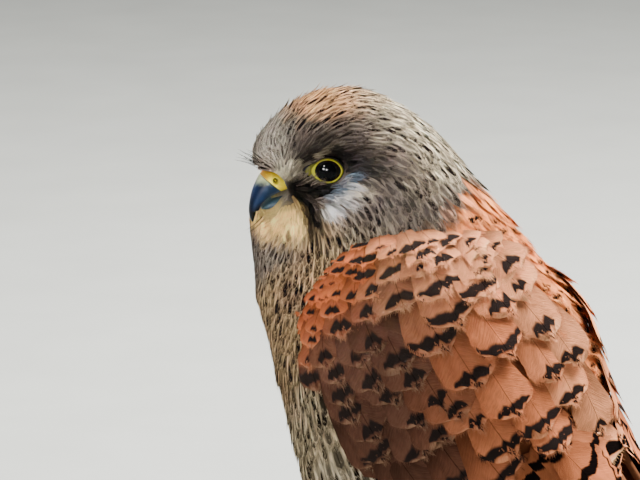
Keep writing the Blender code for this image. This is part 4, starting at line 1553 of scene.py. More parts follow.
@dataclass
class WingCoat:
    """One folded wing: its limb, coverts, shoulder feathers and flight feathers."""

    side: Side
    coat: SheetCoat = field(init=False)
    rufous: Colour = linear(210, 110, 66)
    pink: Colour = linear(255, 172, 124)
    # Brown for low on the wing, partly the wing's own colour and partly painted shade.
    brown: Colour = linear(96, 68, 56)
    # Feathers whose marks show most: the mark's place (s, h) and its half width.
    marked: tuple = (
        (-0.028, 0.29, 1.1), (-0.026, 0.19, 0.8), (-0.008, 0.10, 0.9), (-0.004, 0.02, 1.1),
        (-0.004, 0.18, 1.1),
        (0.008, 0.53, 1.2), (0.020, 0.28, 0.9), (0.022, 0.45, 3.0), (0.030, 0.58, 1.4), (0.040, 0.06, 1.1),
        (0.044, 0.27, 0.9), (0.048, 0.14, 1.1), (0.054, 1.03, 1.4), (0.056, 0.45, 3.2), (0.058, 0.25, 0.9),
        (0.064, 0.93, 1.1), (0.074, 0.58, 3.9), (0.080, 0.10, 1.8), (0.082, 0.76, 2.3), (0.086, 0.20, 1.2),
        (0.088, 0.31, 2.0), (0.088, 0.68, 1.8), (0.094, 0.50, 2.7), (0.096, 0.92, 1.5), (0.104, 0.19, 1.5),
        (0.120, 0.12, 1.5), (0.120, 0.87, 2.3), (0.122, 0.99, 2.7), (0.126, 0.35, 2.7), (0.126, 0.47, 2.9),
        (0.128, 0.57, 3.8), (0.134, 0.71, 5.7), (0.150, 0.25, 2.1), (0.170, 0.44, 2.1), (0.170, 0.95, 2.0),
        (0.176, 0.39, 2.7), (0.180, 0.28, 2.9), (0.184, 0.70, 7.0), (0.190, 0.86, 4.5), (0.204, 0.27, 3.9),
        (0.206, 0.49, 3.8), (0.206, 0.62, 7.2), (0.210, 0.39, 3.2), (0.226, 0.25, 3.5), (0.234, 0.50, 2.7),
        (0.236, 0.42, 3.3), (0.240, 0.93, 3.3), (0.252, 0.78, 6.4), (0.258, 0.29, 2.9), (0.270, 0.65, 4.5),
        (0.274, 0.53, 2.6), (0.280, 0.19, 3.0), (0.280, 0.45, 2.9), (0.286, 0.27, 5.7), (0.298, 0.96, 3.4),
        (0.300, 0.56, 2.4), (0.314, 0.88, 3.3), (0.318, 0.41, 5.3), (0.318, 0.48, 3.0), (0.330, 0.59, 2.0),
        (0.346, 0.71, 4.5), (0.366, 0.91, 4.4), (0.434, 0.79, 7.2), (0.440, 0.97, 2.1),
    )
    # Rows that fill in between them: s of the tips, first and last h, step in h.
    rows: tuple = (
        (-0.015, 0.00, 0.45, 0.085), (0.010, 0.04, 0.50, 0.085), (0.035, 0.00, 0.95, 0.090),
        (0.062, 0.04, 1.00, 0.095), (0.090, 0.00, 0.98, 0.100), (0.122, 0.05, 1.00, 0.115),
        (0.155, 0.00, 0.96, 0.120), (0.190, 0.05, 1.00, 0.135), (0.228, 0.00, 0.94, 0.145),
        (0.268, 0.06, 1.00, 0.150), (0.310, 0.00, 0.95, 0.155), (0.352, 0.07, 1.00, 0.155),
        (0.396, 0.00, 0.94, 0.155), (0.440, 0.07, 1.00, 0.155), (0.485, 0.00, 0.40, 0.155),
    )

    def __post_init__(self) -> None:
        """Starts the coat over the wing's sheet."""
        seed = 70 if self.side is Side.LEFT else 170
        self.coat = SheetCoat(WingForm().sheet(), seed, self.tint, self.edge)

    def tint(self, s: Array, h: Array) -> Array:
        """Ground colour: rufous, pinker on the shoulder, browner low on the wing, where the brown is partly
        the wing's own colour and partly painted shade.

        Args:
            s: Places along the sheet, from 0 to 1.
            h: Places across it, from 0 to 1.

        Returns:
            Colours.
        """
        base = even(self.rufous, np.shape(s))
        # Low on the wing the pink fades and the brown takes over: partly the wing's own darker colour,
        # partly painted shade.
        faint = smooth((s - 0.14) / 0.12) * smooth((0.95 - h) / 0.1)
        base = shaded(base, self.pink, smooth((h - 0.42) / 0.2) * (0.85 - 0.55 * faint))
        brown = smooth((s - 0.05) / 0.14) * smooth((0.86 - h - 0.3 * s) / 0.32)
        return shaded(base, self.brown, 0.95 * brown)

    def edge(self, s: Array, h: Array) -> Array:
        """How far the feathers fall away at the wing's front, lower and inner edges.

        Args:
            s: Places along the sheet, from 0 to 1.
            h: Places across it, from 0 to 1.

        Returns:
            Depths in millimetres.
        """
        front = 3.2 * (np.clip(0.03 - s, 0, 0.09) / 0.06) ** 2
        back = 0.12 + 0.09 * smooth(s / 0.10) + 0.13 * smooth((s - 0.1) / 0.3)
        low = 4.0 * (np.clip(back - h, 0, 0.32) / 0.12) ** 2 * (1 - smooth((s - 0.5) / 0.2))
        inner = 1.2 * (np.clip(h - 0.95, 0, 0.2) / 0.1) ** 2
        inner = inner + 1.6 * smooth((h - 0.72) / 0.3) * bell(s - 0.28, 0.13)
        rear = 2.2 * smooth((s - 0.40) / 0.06) * smooth((h - 0.8) / 0.15) * (1 - smooth((s - 0.58) / 0.1))
        # The far wing's shoulder lies deeper in the back's feathers.
        far = 4.6 * (1 - smooth((s - 0.13) / 0.07)) - 2.0 * bell(s - 0.24, 0.05)
        return front + low + inner + rear + far * (self.side is Side.RIGHT)

    def build(self, coverts: Any, flight: Any) -> tuple[Any, Any]:
        """The wing's two pieces.

        Args:
            coverts: Finish of the small feathers.
            flight: Finish of the flight feathers.

        Returns:
            Coverts with the limb, and flight feathers.
        """
        mirror = self.side is Side.RIGHT
        stock = MeshStock()
        self.coat.pad(stock, (-0.01, 0.62), (11.0, 3.0), 1.6)
        self.coverts(stock)
        first = stock.make(f"wing_coverts_{self.side.word}", coverts, mirror)
        stock = MeshStock()
        self.flight_rows(stock)
        return first, stock.make(f"flight_feathers_{self.side.word}", flight, mirror)

    def spots(self) -> tuple[Array, Array]:
        """Every covert's and shoulder feather's mark (s, h), and the marks' half widths.

        Returns:
            Places, and half widths.
        """
        chance = self.coat.chance
        known = np.array(self.marked)
        if self.side is Side.RIGHT:
            known[:, :2] += chance.uniform(-1, 1, (len(known), 2)) * (0.008, 0.012)
        more = []
        for i, (s, first, last, step) in enumerate(self.rows):
            h = np.arange(first, last + 0.001, step) + (i % 3) * 0.02
            more.append(xyz(s, h) + chance.uniform(-1, 1, (len(h), 2)) * (0.005, 0.01))
        fill = np.concatenate(more)
        fill = fill[(fill[:, 1] < 0.94) | (np.abs(fill[:, 0] - 0.29) > 0.09)]
        away = (fill[:, None] - known[None, :, :2]) * WING_SIZE
        near = np.hypot(away[..., 0], 0.8 * away[..., 1]).min(axis=1)
        fill = fill[near > 0.46 * self.width(fill[:, 0], fill[:, 1])]
        size = 0.22 + 0.2 * smooth((fill[:, 0] - 0.08) / 0.1)
        size = size * self.width(fill[:, 0], fill[:, 1]) * chance.uniform(0.6, 1.3, len(fill))
        return np.concatenate([known[:, :2], fill]), np.concatenate([known[:, 2], size])

    @staticmethod
    def width(s: Array, h: Array) -> Array:
        """Width of a feather by its place: small at the wrist, large on the shoulder.

        Args:
            s: Places along the sheet, from 0 to 1.
            h: Places across it, from 0 to 1.

        Returns:
            Widths in millimetres.
        """
        low = 7.5 + 5.5 * smooth((s - 0.02) / 0.14) + 4.5 * smooth((s - 0.12) / 0.16)
        high = 10.5 + 7.5 * smooth((s - 0.02) / 0.14)
        return low + (high - low) * smooth((h - 0.42) / 0.15)

    def coverts(self, stock: MeshStock) -> None:
        """Coverts and shoulder feathers.

        Args:
            stock: Where the points and faces go.
        """
        spot, size = self.spots()
        s, h = spot.T
        width = self.width(s, h) * self.coat.chance.uniform(0.93, 1.07, len(s))
        tips = spot + xyz(0.235 * width / WING_SIZE[0], 0 * s)
        length = 0.060 + 0.075 * smooth(s / 0.22) + 0.04 * smooth((h - 0.5) / 0.2) * smooth(s / 0.2)
        roots = xyz(np.maximum(tips[:, 0] - length, -0.055), h - 0.01)
        high = 1.0 + 0.5 * smooth(s / 0.1) + 0.9 * smooth((h - 0.45) / 0.15) * smooth((s + 0.02) / 0.08)
        small = VaneCut(9, 7, 36, hair_wide=0.07, widest=0.6, point=2.0, tip_wide=0.2, split=0.08)
        large = VaneCut(
            16, 13, 110, hair_wide=0.09, widest=0.7, point=2.6, tip_wide=0.25, fray=0.03, split=0.09
        )
        plan = FeatherRow(1, ((0, 0),) * 2, ((0, 0),) * 2, (0, 0), -1.3, (0, 0), 0.09, pale=0.8)
        for cut, chosen in ((small, width < 11.0), (large, width >= 11.0)):
            given = (a[chosen] for a in (roots, tips, width, high, 1.5 * size))
            batch = self.coat.batch(*given, plan, cut, float(0.085 * width[chosen].mean()))
            low = smooth((s[chosen] - 0.08) / 0.1) * smooth((0.8 - h[chosen]) / 0.25)
            batch.marks[:, 1] *= smooth((width[chosen] - 8.5) / 4.0) * (1 - 0.45 * low)
            batch.build(stock)

    def flight_rows(self, stock: MeshStock) -> None:
        """Primaries with their coverts, secondaries and tertials.

        Args:
            stock: Where the points and faces go.
        """
        long = VaneCut(22, 9, 0, root_wide=0.6, widest=0.3, tip_wide=0.12, point=1.7, fray=0.04, skew=0.42)
        broad = VaneCut(18, 9, 16, root_wide=0.6, widest=0.5, tip_wide=0.3, point=2.6, fray=0.06, skew=0.15)
        rows = (
            (FeatherRow(10, ((0.40, 0.06), (0.44, 0.42)), ((0.992, 0.24), (0.685, 0.60)), (10.5, 15.0),
                        -1.6, (-1.2, 1.3), 0.03, pale=0.35, jitter=0.1, rise_by=0.3), long),
            (FeatherRow(9, ((0.44, 0.42), (0.42, 0.74)), ((0.668, 0.58), (0.645, 0.80)), (17.0, 18.0),
                        -1.0, (1.3, 1.9), 0.08, (9.0, 9.0), jitter=0.1, rise_by=0.4), broad),
            (FeatherRow(4, ((0.40, 0.76), (0.40, 0.94)), ((0.600, 0.84), (0.535, 0.95)), (19.0, 19.0),
                        -0.6, (2.0, 2.3), 0.08, (9.0, 9.0), jitter=0.1, rise_by=0.4), broad),
            (FeatherRow(9, ((0.33, 0.04), (0.35, 0.30)), ((0.555, 0.10), (0.50, 0.40)), (9.0, 11.0),
                        -1.2, (0.6, 1.0), 0.06, pale=0.5, jitter=0.1), broad),
            (FeatherRow(4, ((0.20, 0.04), (0.22, 0.10)), ((0.42, 0.04), (0.33, 0.14)), (9.0, 9.0),
                        -1.0, (1.2, 1.7), 0.06, pale=0.7, jitter=0.1), broad),
        )
        for plan, cut in rows:
            self.coat.row(plan, cut, 1.0).build(stock)


@dataclass(frozen=True)
class TailCoat:
    """The closed tail: twelve feathers in layers, and the coverts above and below."""

    line: tuple = ((0.0, 42.0, 84.0), (0.0, 95.0, 44.0), (0.0, 166.0, 1.2))
    seeds: tuple[int, int, int] = (300, 400, 500)
    pairs: int = 6
    layer: float = 0.7
    feather_width: float = 19.0
    brown: Colour = linear(176, 104, 72)
    grey: Colour = linear(150, 128, 112)
    cream: Colour = linear(224, 200, 166)

    def sheet(self) -> Sheet:
        """The sheet on which the tail feathers lie, as in the solids.

        Returns:
            The sheet.
        """
        q = np.linspace(0, 1, 6)[:, None]
        root, bend, tip = np.array(self.line)
        line = (1 - q) ** 2 * root + 2 * q * (1 - q) * bend + q * q * tip
        rows = []
        for place, centre in zip(q[:, 0], line):
            half, sag = 9.0 + 8.0 * place, 2.0 - 0.8 * place
            rows.append([centre + np.array([x * half, 0, -sag * x * x]) for x in (1.0, 0.33, -0.33, -1.0)])
        return Sheet(np.array(rows))

    def tint(self, s: Array, h: Array) -> Array:
        """Ground colour: greyer near the rump, rufous brown beyond."""
        return shaded(even(self.brown, np.shape(s)), self.grey, 1 - smooth(s / 0.5))

    def build(self, flight: Any, soft: Any) -> tuple[Any, Any]:
        """The tail's two pieces: feathers, and coverts with the root wedge.

        Args:
            flight: Finish of the tail feathers.
            soft: Finish of the coverts.

        Returns:
            Feathers, and coverts.
        """
        coat = SheetCoat(self.sheet(), self.seeds[0], self.tint)
        cut = VaneCut(30, 9, 0, root_wide=0.62, widest=0.5, tip_wide=0.42, point=3.2, fray=0.03, lean=0.4)
        stock = MeshStock()
        for pair in range(self.pairs):
            for side in (-1, 1):
                depth = -self.layer * pair - 0.35 * (side > 0)
                start, end = 0.5 + side * (0.05 + 0.03 * pair), 0.5 + side * (0.05 + 0.075 * pair)
                top = (1.0 - 0.009 * pair, end)
                wide, ends = (self.feather_width,) * 2, (((0.04, start),) * 2, (top,) * 2)
                plan = FeatherRow(
                    1, *ends, wide, -2.0 + depth, (depth,) * 2, 0.0, (12.0, 12.0), jitter=0.0, rise_by=0.3
                )
                batch = coat.row(plan, cut, 0.0)
                least = 0.25 + 0.14 * (self.pairs - pair) - 0.07 * (side > 0)
                batch.path[..., 2] = np.maximum(batch.path[..., 2], least)
                batch.build(stock)
        stock.points = [np.maximum(p, (-1e9, -1e9, 0.1)) for p in stock.points]
        return stock.make("tail_feathers", flight), self.coverts(soft)

    def coverts(self, soft: Any) -> Any:
        """The root wedge with the coverts over and under it.

        Args:
            soft: Their finish.

        Returns:
            The piece.
        """
        stock = MeshStock()
        over = SheetCoat(self.sheet(), self.seeds[1], self.tint)
        over.pad(stock, (0.0, 0.26), (9.0, 5.0), 1.0)
        cut = VaneCut(8, 7, 14, hair_wide=0.12, widest=0.6)
        under = SheetCoat(self.sheet(), self.seeds[2], lambda s, h: even(self.cream, np.shape(s)))
        for i, s in enumerate((0.10, 0.17, 0.24, 0.31, 0.38)):
            for coat, count, first, last, tip, low, high, roll, streak, pale, hair in (
                (over, 7, -0.02, 0.96, s, -1.0, 1.2, 0.05, 0.5, 0.7, 1.4),
                (under, 6, 0.05, 0.9, s + 0.03, -6.0, -8.5, 0.0, 0.4, 0.6, 1.6),
            ):
                ends = [tuple((at, h + 0.06 * (i % 2)) for h in (first, last)) for at in (s - 0.16, tip)]
                more = {"streak": streak, "pale": pale}
                plan = FeatherRow(count, *ends, (9.0, 9.0), low, (high, high), roll, **more)
                batch = coat.row(plan, cut, hair)
                if coat is under:
                    batch.normal = -batch.normal
                batch.build(stock)
        return stock.make("tail_coverts", soft)


class PointSetter:
    """A Geometry Nodes tree that sets one small shape on every point of a mesh.

    The points carry the attributes way (the shape's X) and out (its Z).
    """

    def __init__(self, name: str, material: Any) -> None:
        """Builds the tree with its named inputs.

        Args:
            name: The tree's name.
            material: The shapes' material.
        """
        tree = bpy.data.node_groups.new(name, "GeometryNodeTree")
        named = (
            ("Points", "Geometry"), ("Shape", "Object"), ("Least", "Float"), ("Most", "Float"),
            ("Result", "Geometry"),
        )
        self.tree, self.keys = tree, {}
        for title, kind in named:
            way = "OUTPUT" if title == "Result" else "INPUT"
            socket = tree.interface.new_socket(title, socket_type="NodeSocket" + kind, in_out=way)
            self.keys[title] = socket.identifier

        def node(kind: str, inputs: dict[Any, Any], **settings: str) -> Any:
            """One node's outputs."""
            return add_node(tree, kind, settings, inputs).outputs

        start, end = node("NodeGroupInput", {}), tree.nodes.new("NodeGroupOutput")
        shape = node("GeometryNodeObjectInfo", {"Object": start["Shape"]})
        way, out = (
            node("GeometryNodeInputNamedAttribute", {"Name": name}, data_type="FLOAT_VECTOR")[0]
            for name in ("way", "out")
        )
        turn = node("FunctionNodeAlignRotationToVector", {"Vector": out}, axis="Z")
        inputs = {"Rotation": turn[0], "Vector": way}
        turn = node("FunctionNodeAlignRotationToVector", inputs, axis="X", pivot_axis="Z")
        inputs = {2: start["Least"], 3: start["Most"], "Seed": 5}
        size = node("FunctionNodeRandomValue", inputs, data_type="FLOAT")
        inputs = {"Points": start["Points"], "Instance": shape["Geometry"], "Rotation": turn[0]}
        placed = node("GeometryNodeInstanceOnPoints", inputs | {"Scale": size[1]})
        real = node("GeometryNodeRealizeInstances", {"Geometry": placed[0]})
        dressed = node("GeometryNodeSetMaterial", {"Geometry": real[0], "Material": material})
        tree.links.new(dressed[0], end.inputs["Result"])

    def apply(self, name: str, points: Array, way: Array, out: Array, shape: Any, spread: float) -> Any:
        """Sets the shape on points.

        Args:
            name: The piece's name.
            points: Places in millimetres.
            way: The shape's X at each.
            out: The shape's Z at each.
            shape: The small object, in metres, used up here.
            spread: How much sizes vary.

        Returns:
            The piece, a plain mesh.
        """
        mesh = bpy.data.meshes.new(name)
        mesh.from_pydata([tuple(p) for p in (points + STANDS_AT) * MM], [], [])
        for key, values in (("way", way), ("out", out)):
            mesh.attributes.new(key, "FLOAT_VECTOR", "POINT").data.foreach_set("vector", values.ravel())
        holder = placed_object(name, mesh)
        modifier = holder.modifiers.new("set", "NODES")
        modifier.node_group = self.tree
        for title, given in (("Shape", shape), ("Least", 1 - spread), ("Most", 1 + spread)):
            modifier[self.keys[title]] = given
        graph = bpy.context.evaluated_depsgraph_get()
        made = bpy.data.meshes.new_from_object(holder.evaluated_get(graph))
        holder.modifiers.clear()
        holder.data = made
        bpy.data.objects.remove(shape)
        made.shade_smooth()
        return holder


def small_shape(name: str, rings: Array) -> Any:
    """A closed small shape from rings in millimetres round its own origin, as an object."""
    return ring_piece(name, rings - STANDS_AT, {}, None)


@dataclass(frozen=True)
class BillForm:
    """Cere, hooked upper bill and lower bill: top y, z, lower edge y, z, half width."""

    upper: tuple = (
        (-54.5, 213.2, -50.0, 207.2, 7.0),
        (-59.0, 213.2, -53.0, 206.6, 6.9),
        (-61.8, 210.8, -55.6, 205.7, 6.0),
        (-63.9, 207.0, -58.6, 204.2, 4.7),
        (-65.0, 203.2, -61.0, 202.4, 3.5),
        (-65.4, 200.2, -62.6, 200.4, 2.5),
        (-65.2, 197.9, -63.5, 198.4, 1.5),
        (-64.5, 196.2, -64.0, 196.6, 0.5),
    )
    lower: tuple = (
        (-50.5, 206.4, -51.0, 202.0, 6.3),
        (-54.0, 205.6, -54.2, 201.0, 5.6),
        (-57.0, 204.4, -57.2, 200.4, 4.6),
        (-59.6, 202.8, -59.6, 200.0, 3.3),
        (-61.6, 201.0, -61.6, 200.2, 1.9),
    )
    # The tooth behind the hook's tip and the notch before it: size, row and reach.
    tooth: tuple[float, float, float] = (0.75, 5.55, 0.28)
    notch: tuple[float, float, float] = (0.75, 4.85, 0.30)
    cere_ends: float = 2.0
    nostril: Pair = (-58.2, 209.8)
    blunt: float = 0.85

    def rings(self, rows: tuple, first: float, last: float, count: int, around: int) -> tuple[Array, Array]:
        """Rings of one piece on the straight head, and their lie attribute.

        Args:
            rows: The piece's rows.
            first: The row where it starts.
            last: The row where it ends.
            count: How many rings.
            around: Points in a ring.

        Returns:
            Points, and along, depth from the ridge and nostril.
        """
        place = np.linspace(first, last, count)
        table = through(rows, place)
        if rows is self.upper:
            out, into = (size * bell(place - at, reach) for size, at, reach in (self.tooth, self.notch))
            table[:, 3] += out - into
        turn = circle(around)
        centre, half = (table[:, 0:2] + table[:, 2:4]) / 2, (table[:, 0:2] - table[:, 2:4]) / 2
        cosine, sine = np.cos(turn), np.sin(turn)
        x = table[:, 4:5] * np.sign(sine) * np.abs(sine) ** self.blunt
        yz = centre[:, None] + cosine[None, :, None] * half[:, None]
        points = np.concatenate([x[..., None], yz], axis=-1)
        along = ((place - first) / (last - first))[:, None]
        deep = (1 - cosine)[None, :] / 2
        return points, xyz(along, deep, 0 * x)

    def nostrils(self, points: Array, lie: Array) -> None:
        """Presses the round nostril with its small knob into both sides of the cere.

        Args:
            points: The cere's points, changed in place.
            lie: Their lie, changed too.
        """
        far = np.hypot(points[..., 1] - self.nostril[0], points[..., 2] - self.nostril[1])
        pit = 1 - smooth((far - 0.5) / 0.55)
        rise = -1.5 * pit + 1.1 * bell(far, 0.3) + 0.28 * bell(far - 1.15, 0.35)
        points[..., 0] += np.sign(points[..., 0]) * rise * (np.abs(points[..., 0]) > 2)
        lie[..., 2] = np.clip(pit - 1.2 * bell(far, 0.26), 0, 1) * (np.abs(points[..., 0]) > 2)


def build_bill() -> None:
    """Cere, upper and lower bill, and the bristles beside them."""
    form = BillForm()
    last = len(form.upper) - 1
    horn = HornFinish().build()
    pale = HornFinish(
        "lower_horn", linear(120, 116, 84), linear(46, 58, 68), tip_starts=0.75, edge_dark=0.25
    ).build()
    plans = (
        ("cere_skin", form.upper, 0.0, form.cere_ends, 110, 160, CereFinish().build(), "cere", "cere"),
        ("upper_bill_horn", form.upper, form.cere_ends + 0.06, last, 110, 72, horn, "horn", "upper_bill"),
        ("lower_bill_horn", form.lower, 0.0, 4.0, 50, 48, pale, "horn", "lower_bill"),
    )
    for name, rows, first, end, count, around, finish, slot, node in plans:
        points, lie = form.rings(rows, first, end, count, around)
        if node == "cere":
            form.nostrils(points, lie)
            points[..., 0] *= 1 - 0.34 * (1 - smooth((lie[..., 0] - 0.1) / 0.8))
        if node == "lower_bill":
            points[..., 0] *= 0.93
        hand_over(ring_piece(name, BODY.on_head(points), {"lie": lie}, finish), slot, node)
    hand_over(Bristles().build(), "head_plumage")


@dataclass(frozen=True)
class Bristles:
    """Fine black bristles that fan forward from the lores beside the bill."""

    count: int = 80
    seed: int = 9
    # Rows of the head between which they stand, left and right, and degrees from the back.
    rows: tuple[Pair, Pair] = ((0.5, 2.6), (0.4, 1.6))
    turns: Pair = (40.0, 128.0)
    reach: float = 5.4
    thick: float = 0.07
    bow: float = 0.9
    colour: Colour = linear(14, 12, 12)

    def build(self) -> Any:
        """The bristles, set by Geometry Nodes.

        Returns:
            The piece.
        """
        chance = np.random.default_rng(self.seed)
        row = np.concatenate([chance.uniform(*rows, self.count) for rows in self.rows])
        turn = [sign * chance.uniform(*self.turns, self.count) for sign in (1, -1)]
        around = np.radians(np.concatenate(turn))
        normal, straight = BODY.normals(row, around), BODY.straight(row, around)
        points = BODY.points(row, around) - normal * 0.4
        keep = straight[:, 1] > BODY.bill_edge(straight[:, 2]) + 0.2
        up = (straight[:, 2] - 207.5) / 9.0 + chance.uniform(-0.25, 0.25, len(row))
        aim = xyz(np.sign(around) * chance.uniform(0.15, 0.5, len(row)), -1, up)
        line = (0, BODY.neck_line_y, 0)
        way = unit(BODY.on_head(aim + line) - BODY.on_head(line))
        out = unit(np.cross(way, np.cross(normal, way)))
        q = np.linspace(0, 1, 8)[:, None]
        angle, thick = circle(5), self.thick * (1 - q) ** 0.6 + 0.02
        rings = xyz(self.reach * q, thick * np.cos(angle), thick * np.sin(angle) + self.bow * q**2)
        shape = small_shape("bristle", rings)
        setter = PointSetter("set_bristles", PlainFinish("bristle_black", self.colour, 0.45, 2.0).build())
        return setter.apply("bristles", points[keep], way[keep], out[keep], shape, 0.4)


@dataclass(frozen=True)
class EyeForm:
    """Eyeball, its lids and the bare skin before it."""

    radius: float = 6.0
    centre: tuple[float, float, float] = (10.2, -42.2, 213.8)
    forward: float = 0.35
    up: float = 0.03
    opening: Pair = (3.95, 3.35)
    # The lids' steps from the rim outwards: share of the spread, height over the ball's sphere.
    steps: tuple = (
        (-0.16, -0.30), (-0.05, 0.10), (0.02, 0.34), (0.10, 0.50), (0.20, 0.56), (0.30, 0.48),
        (0.40, 0.36), (0.50, 0.40), (0.62, 0.36), (0.76, 0.20), (0.90, 0.0), (1.05, -0.5), (1.25, -1.3),
    )

    def axes(self, side: Side) -> tuple[Array, Array, Array, Array]:
        """The ball's middle, and its outward, forward and upward directions.

        Args:
            side: The bird's side.

        Returns:
            The middle, and three unit vectors.
        """
        line = BODY.neck_line_y
        middle = BODY.on_head([side.value * self.centre[0], *self.centre[1:]])
        base = BODY.on_head([0.0, line, 0.0])
        axis = unit(BODY.on_head([side.value, line - self.forward, self.up]) - base)
        ahead = BODY.on_head([0.0, line - 1.0, 0.0]) - base
        ahead = unit(ahead - axis * np.dot(ahead, axis))
        above = np.cross(axis, ahead) * side.value
        return middle, axis, ahead, above * (1 if above[2] > 0 else -1)

    def ball(self, side: Side, finish: Any) -> Any:
        """The eyeball with its clear, slightly steeper front.

        Args:
            side: The bird's side.
            finish: Its material.

        Returns:
            The piece.
        """
        middle, axis, ahead, above = self.axes(side)
        tilt = np.linspace(0.02, math.pi - 0.02, 90)[:, None]
        turn = circle(72)
        reach = self.radius + 0.12 * (1 - smooth(tilt / math.radians(40)))
        points = (
            middle
            + axis * (reach * np.cos(tilt) + 0 * turn)[..., None]
            + ahead * (reach * np.sin(tilt) * np.cos(turn))[..., None]
            + above * (reach * np.sin(tilt) * np.sin(turn))[..., None]
        )
        lie = xyz(tilt / (math.pi / 2), turn, 0)
        return ring_piece(f"eyeball_{side.word}", points, {"lie": lie}, finish)

    def lids(self, side: Side, finish: Any) -> Any:
        """The bare ring: its rim rests on the ball, its skirt runs under the feathers.

        Args:
            side: The bird's side.
            finish: Its material.

        Returns:
            The piece.
        """
        middle, axis, ahead, above = self.axes(side)
        turn = circle(96)
        a, b = self.opening
        opening = a * b / np.sqrt((b * np.cos(turn)) ** 2 + (a * np.sin(turn)) ** 2)
        corner = bell((turn + math.pi) % math.tau - math.pi + 0.10, 0.42)
        rear = bell(turn % math.tau - math.pi, 0.35)
        opening = opening + 0.35 * corner + 0.15 * rear
        spread = 0.95 + 2.6 * corner + 0.2 * rear
        rings, lies = [], []
        for step, (share, height) in enumerate(self.steps):
            out = opening + spread * share
            flat = np.minimum(out, 6.2)
            level = np.sqrt(np.maximum(self.radius**2 - flat**2, 4.0)) + height + 0.16 * (out - opening)
            crease = 0.05 * np.sin(turn * 26 + step) * (0.1 < share < 0.95)
            spot = axis * (level + crease)[:, None] + ahead * (out * np.cos(turn))[:, None]
            rings.append(middle + spot + above * (out * np.sin(turn))[:, None])
            # The third number, the height round the ring, is where the finish paints shade on the rim's
            # top.
            lies.append(xyz(share, corner, np.sin(turn)))
        inner, under = middle + (rings[0] - middle) * 0.93, middle + (rings[-1] - middle) * 0.8
        lies = np.array([lies[-1], lies[0], *lies])
        rings = np.array([under, inner, *rings])
        return ring_piece(f"lids_{side.word}", rings, {"lie": lies}, finish, hoop=True)


def build_eyes() -> None:
    """Both eyes with their lids."""
    form = EyeForm()
    wet, ring = EyeFinish().build(), LidFinish().build()
    for side in Side:
        hand_over(form.ball(side, wet), "eye", "eye_" + side.word)
        hand_over(form.lids(side, ring), "cere")


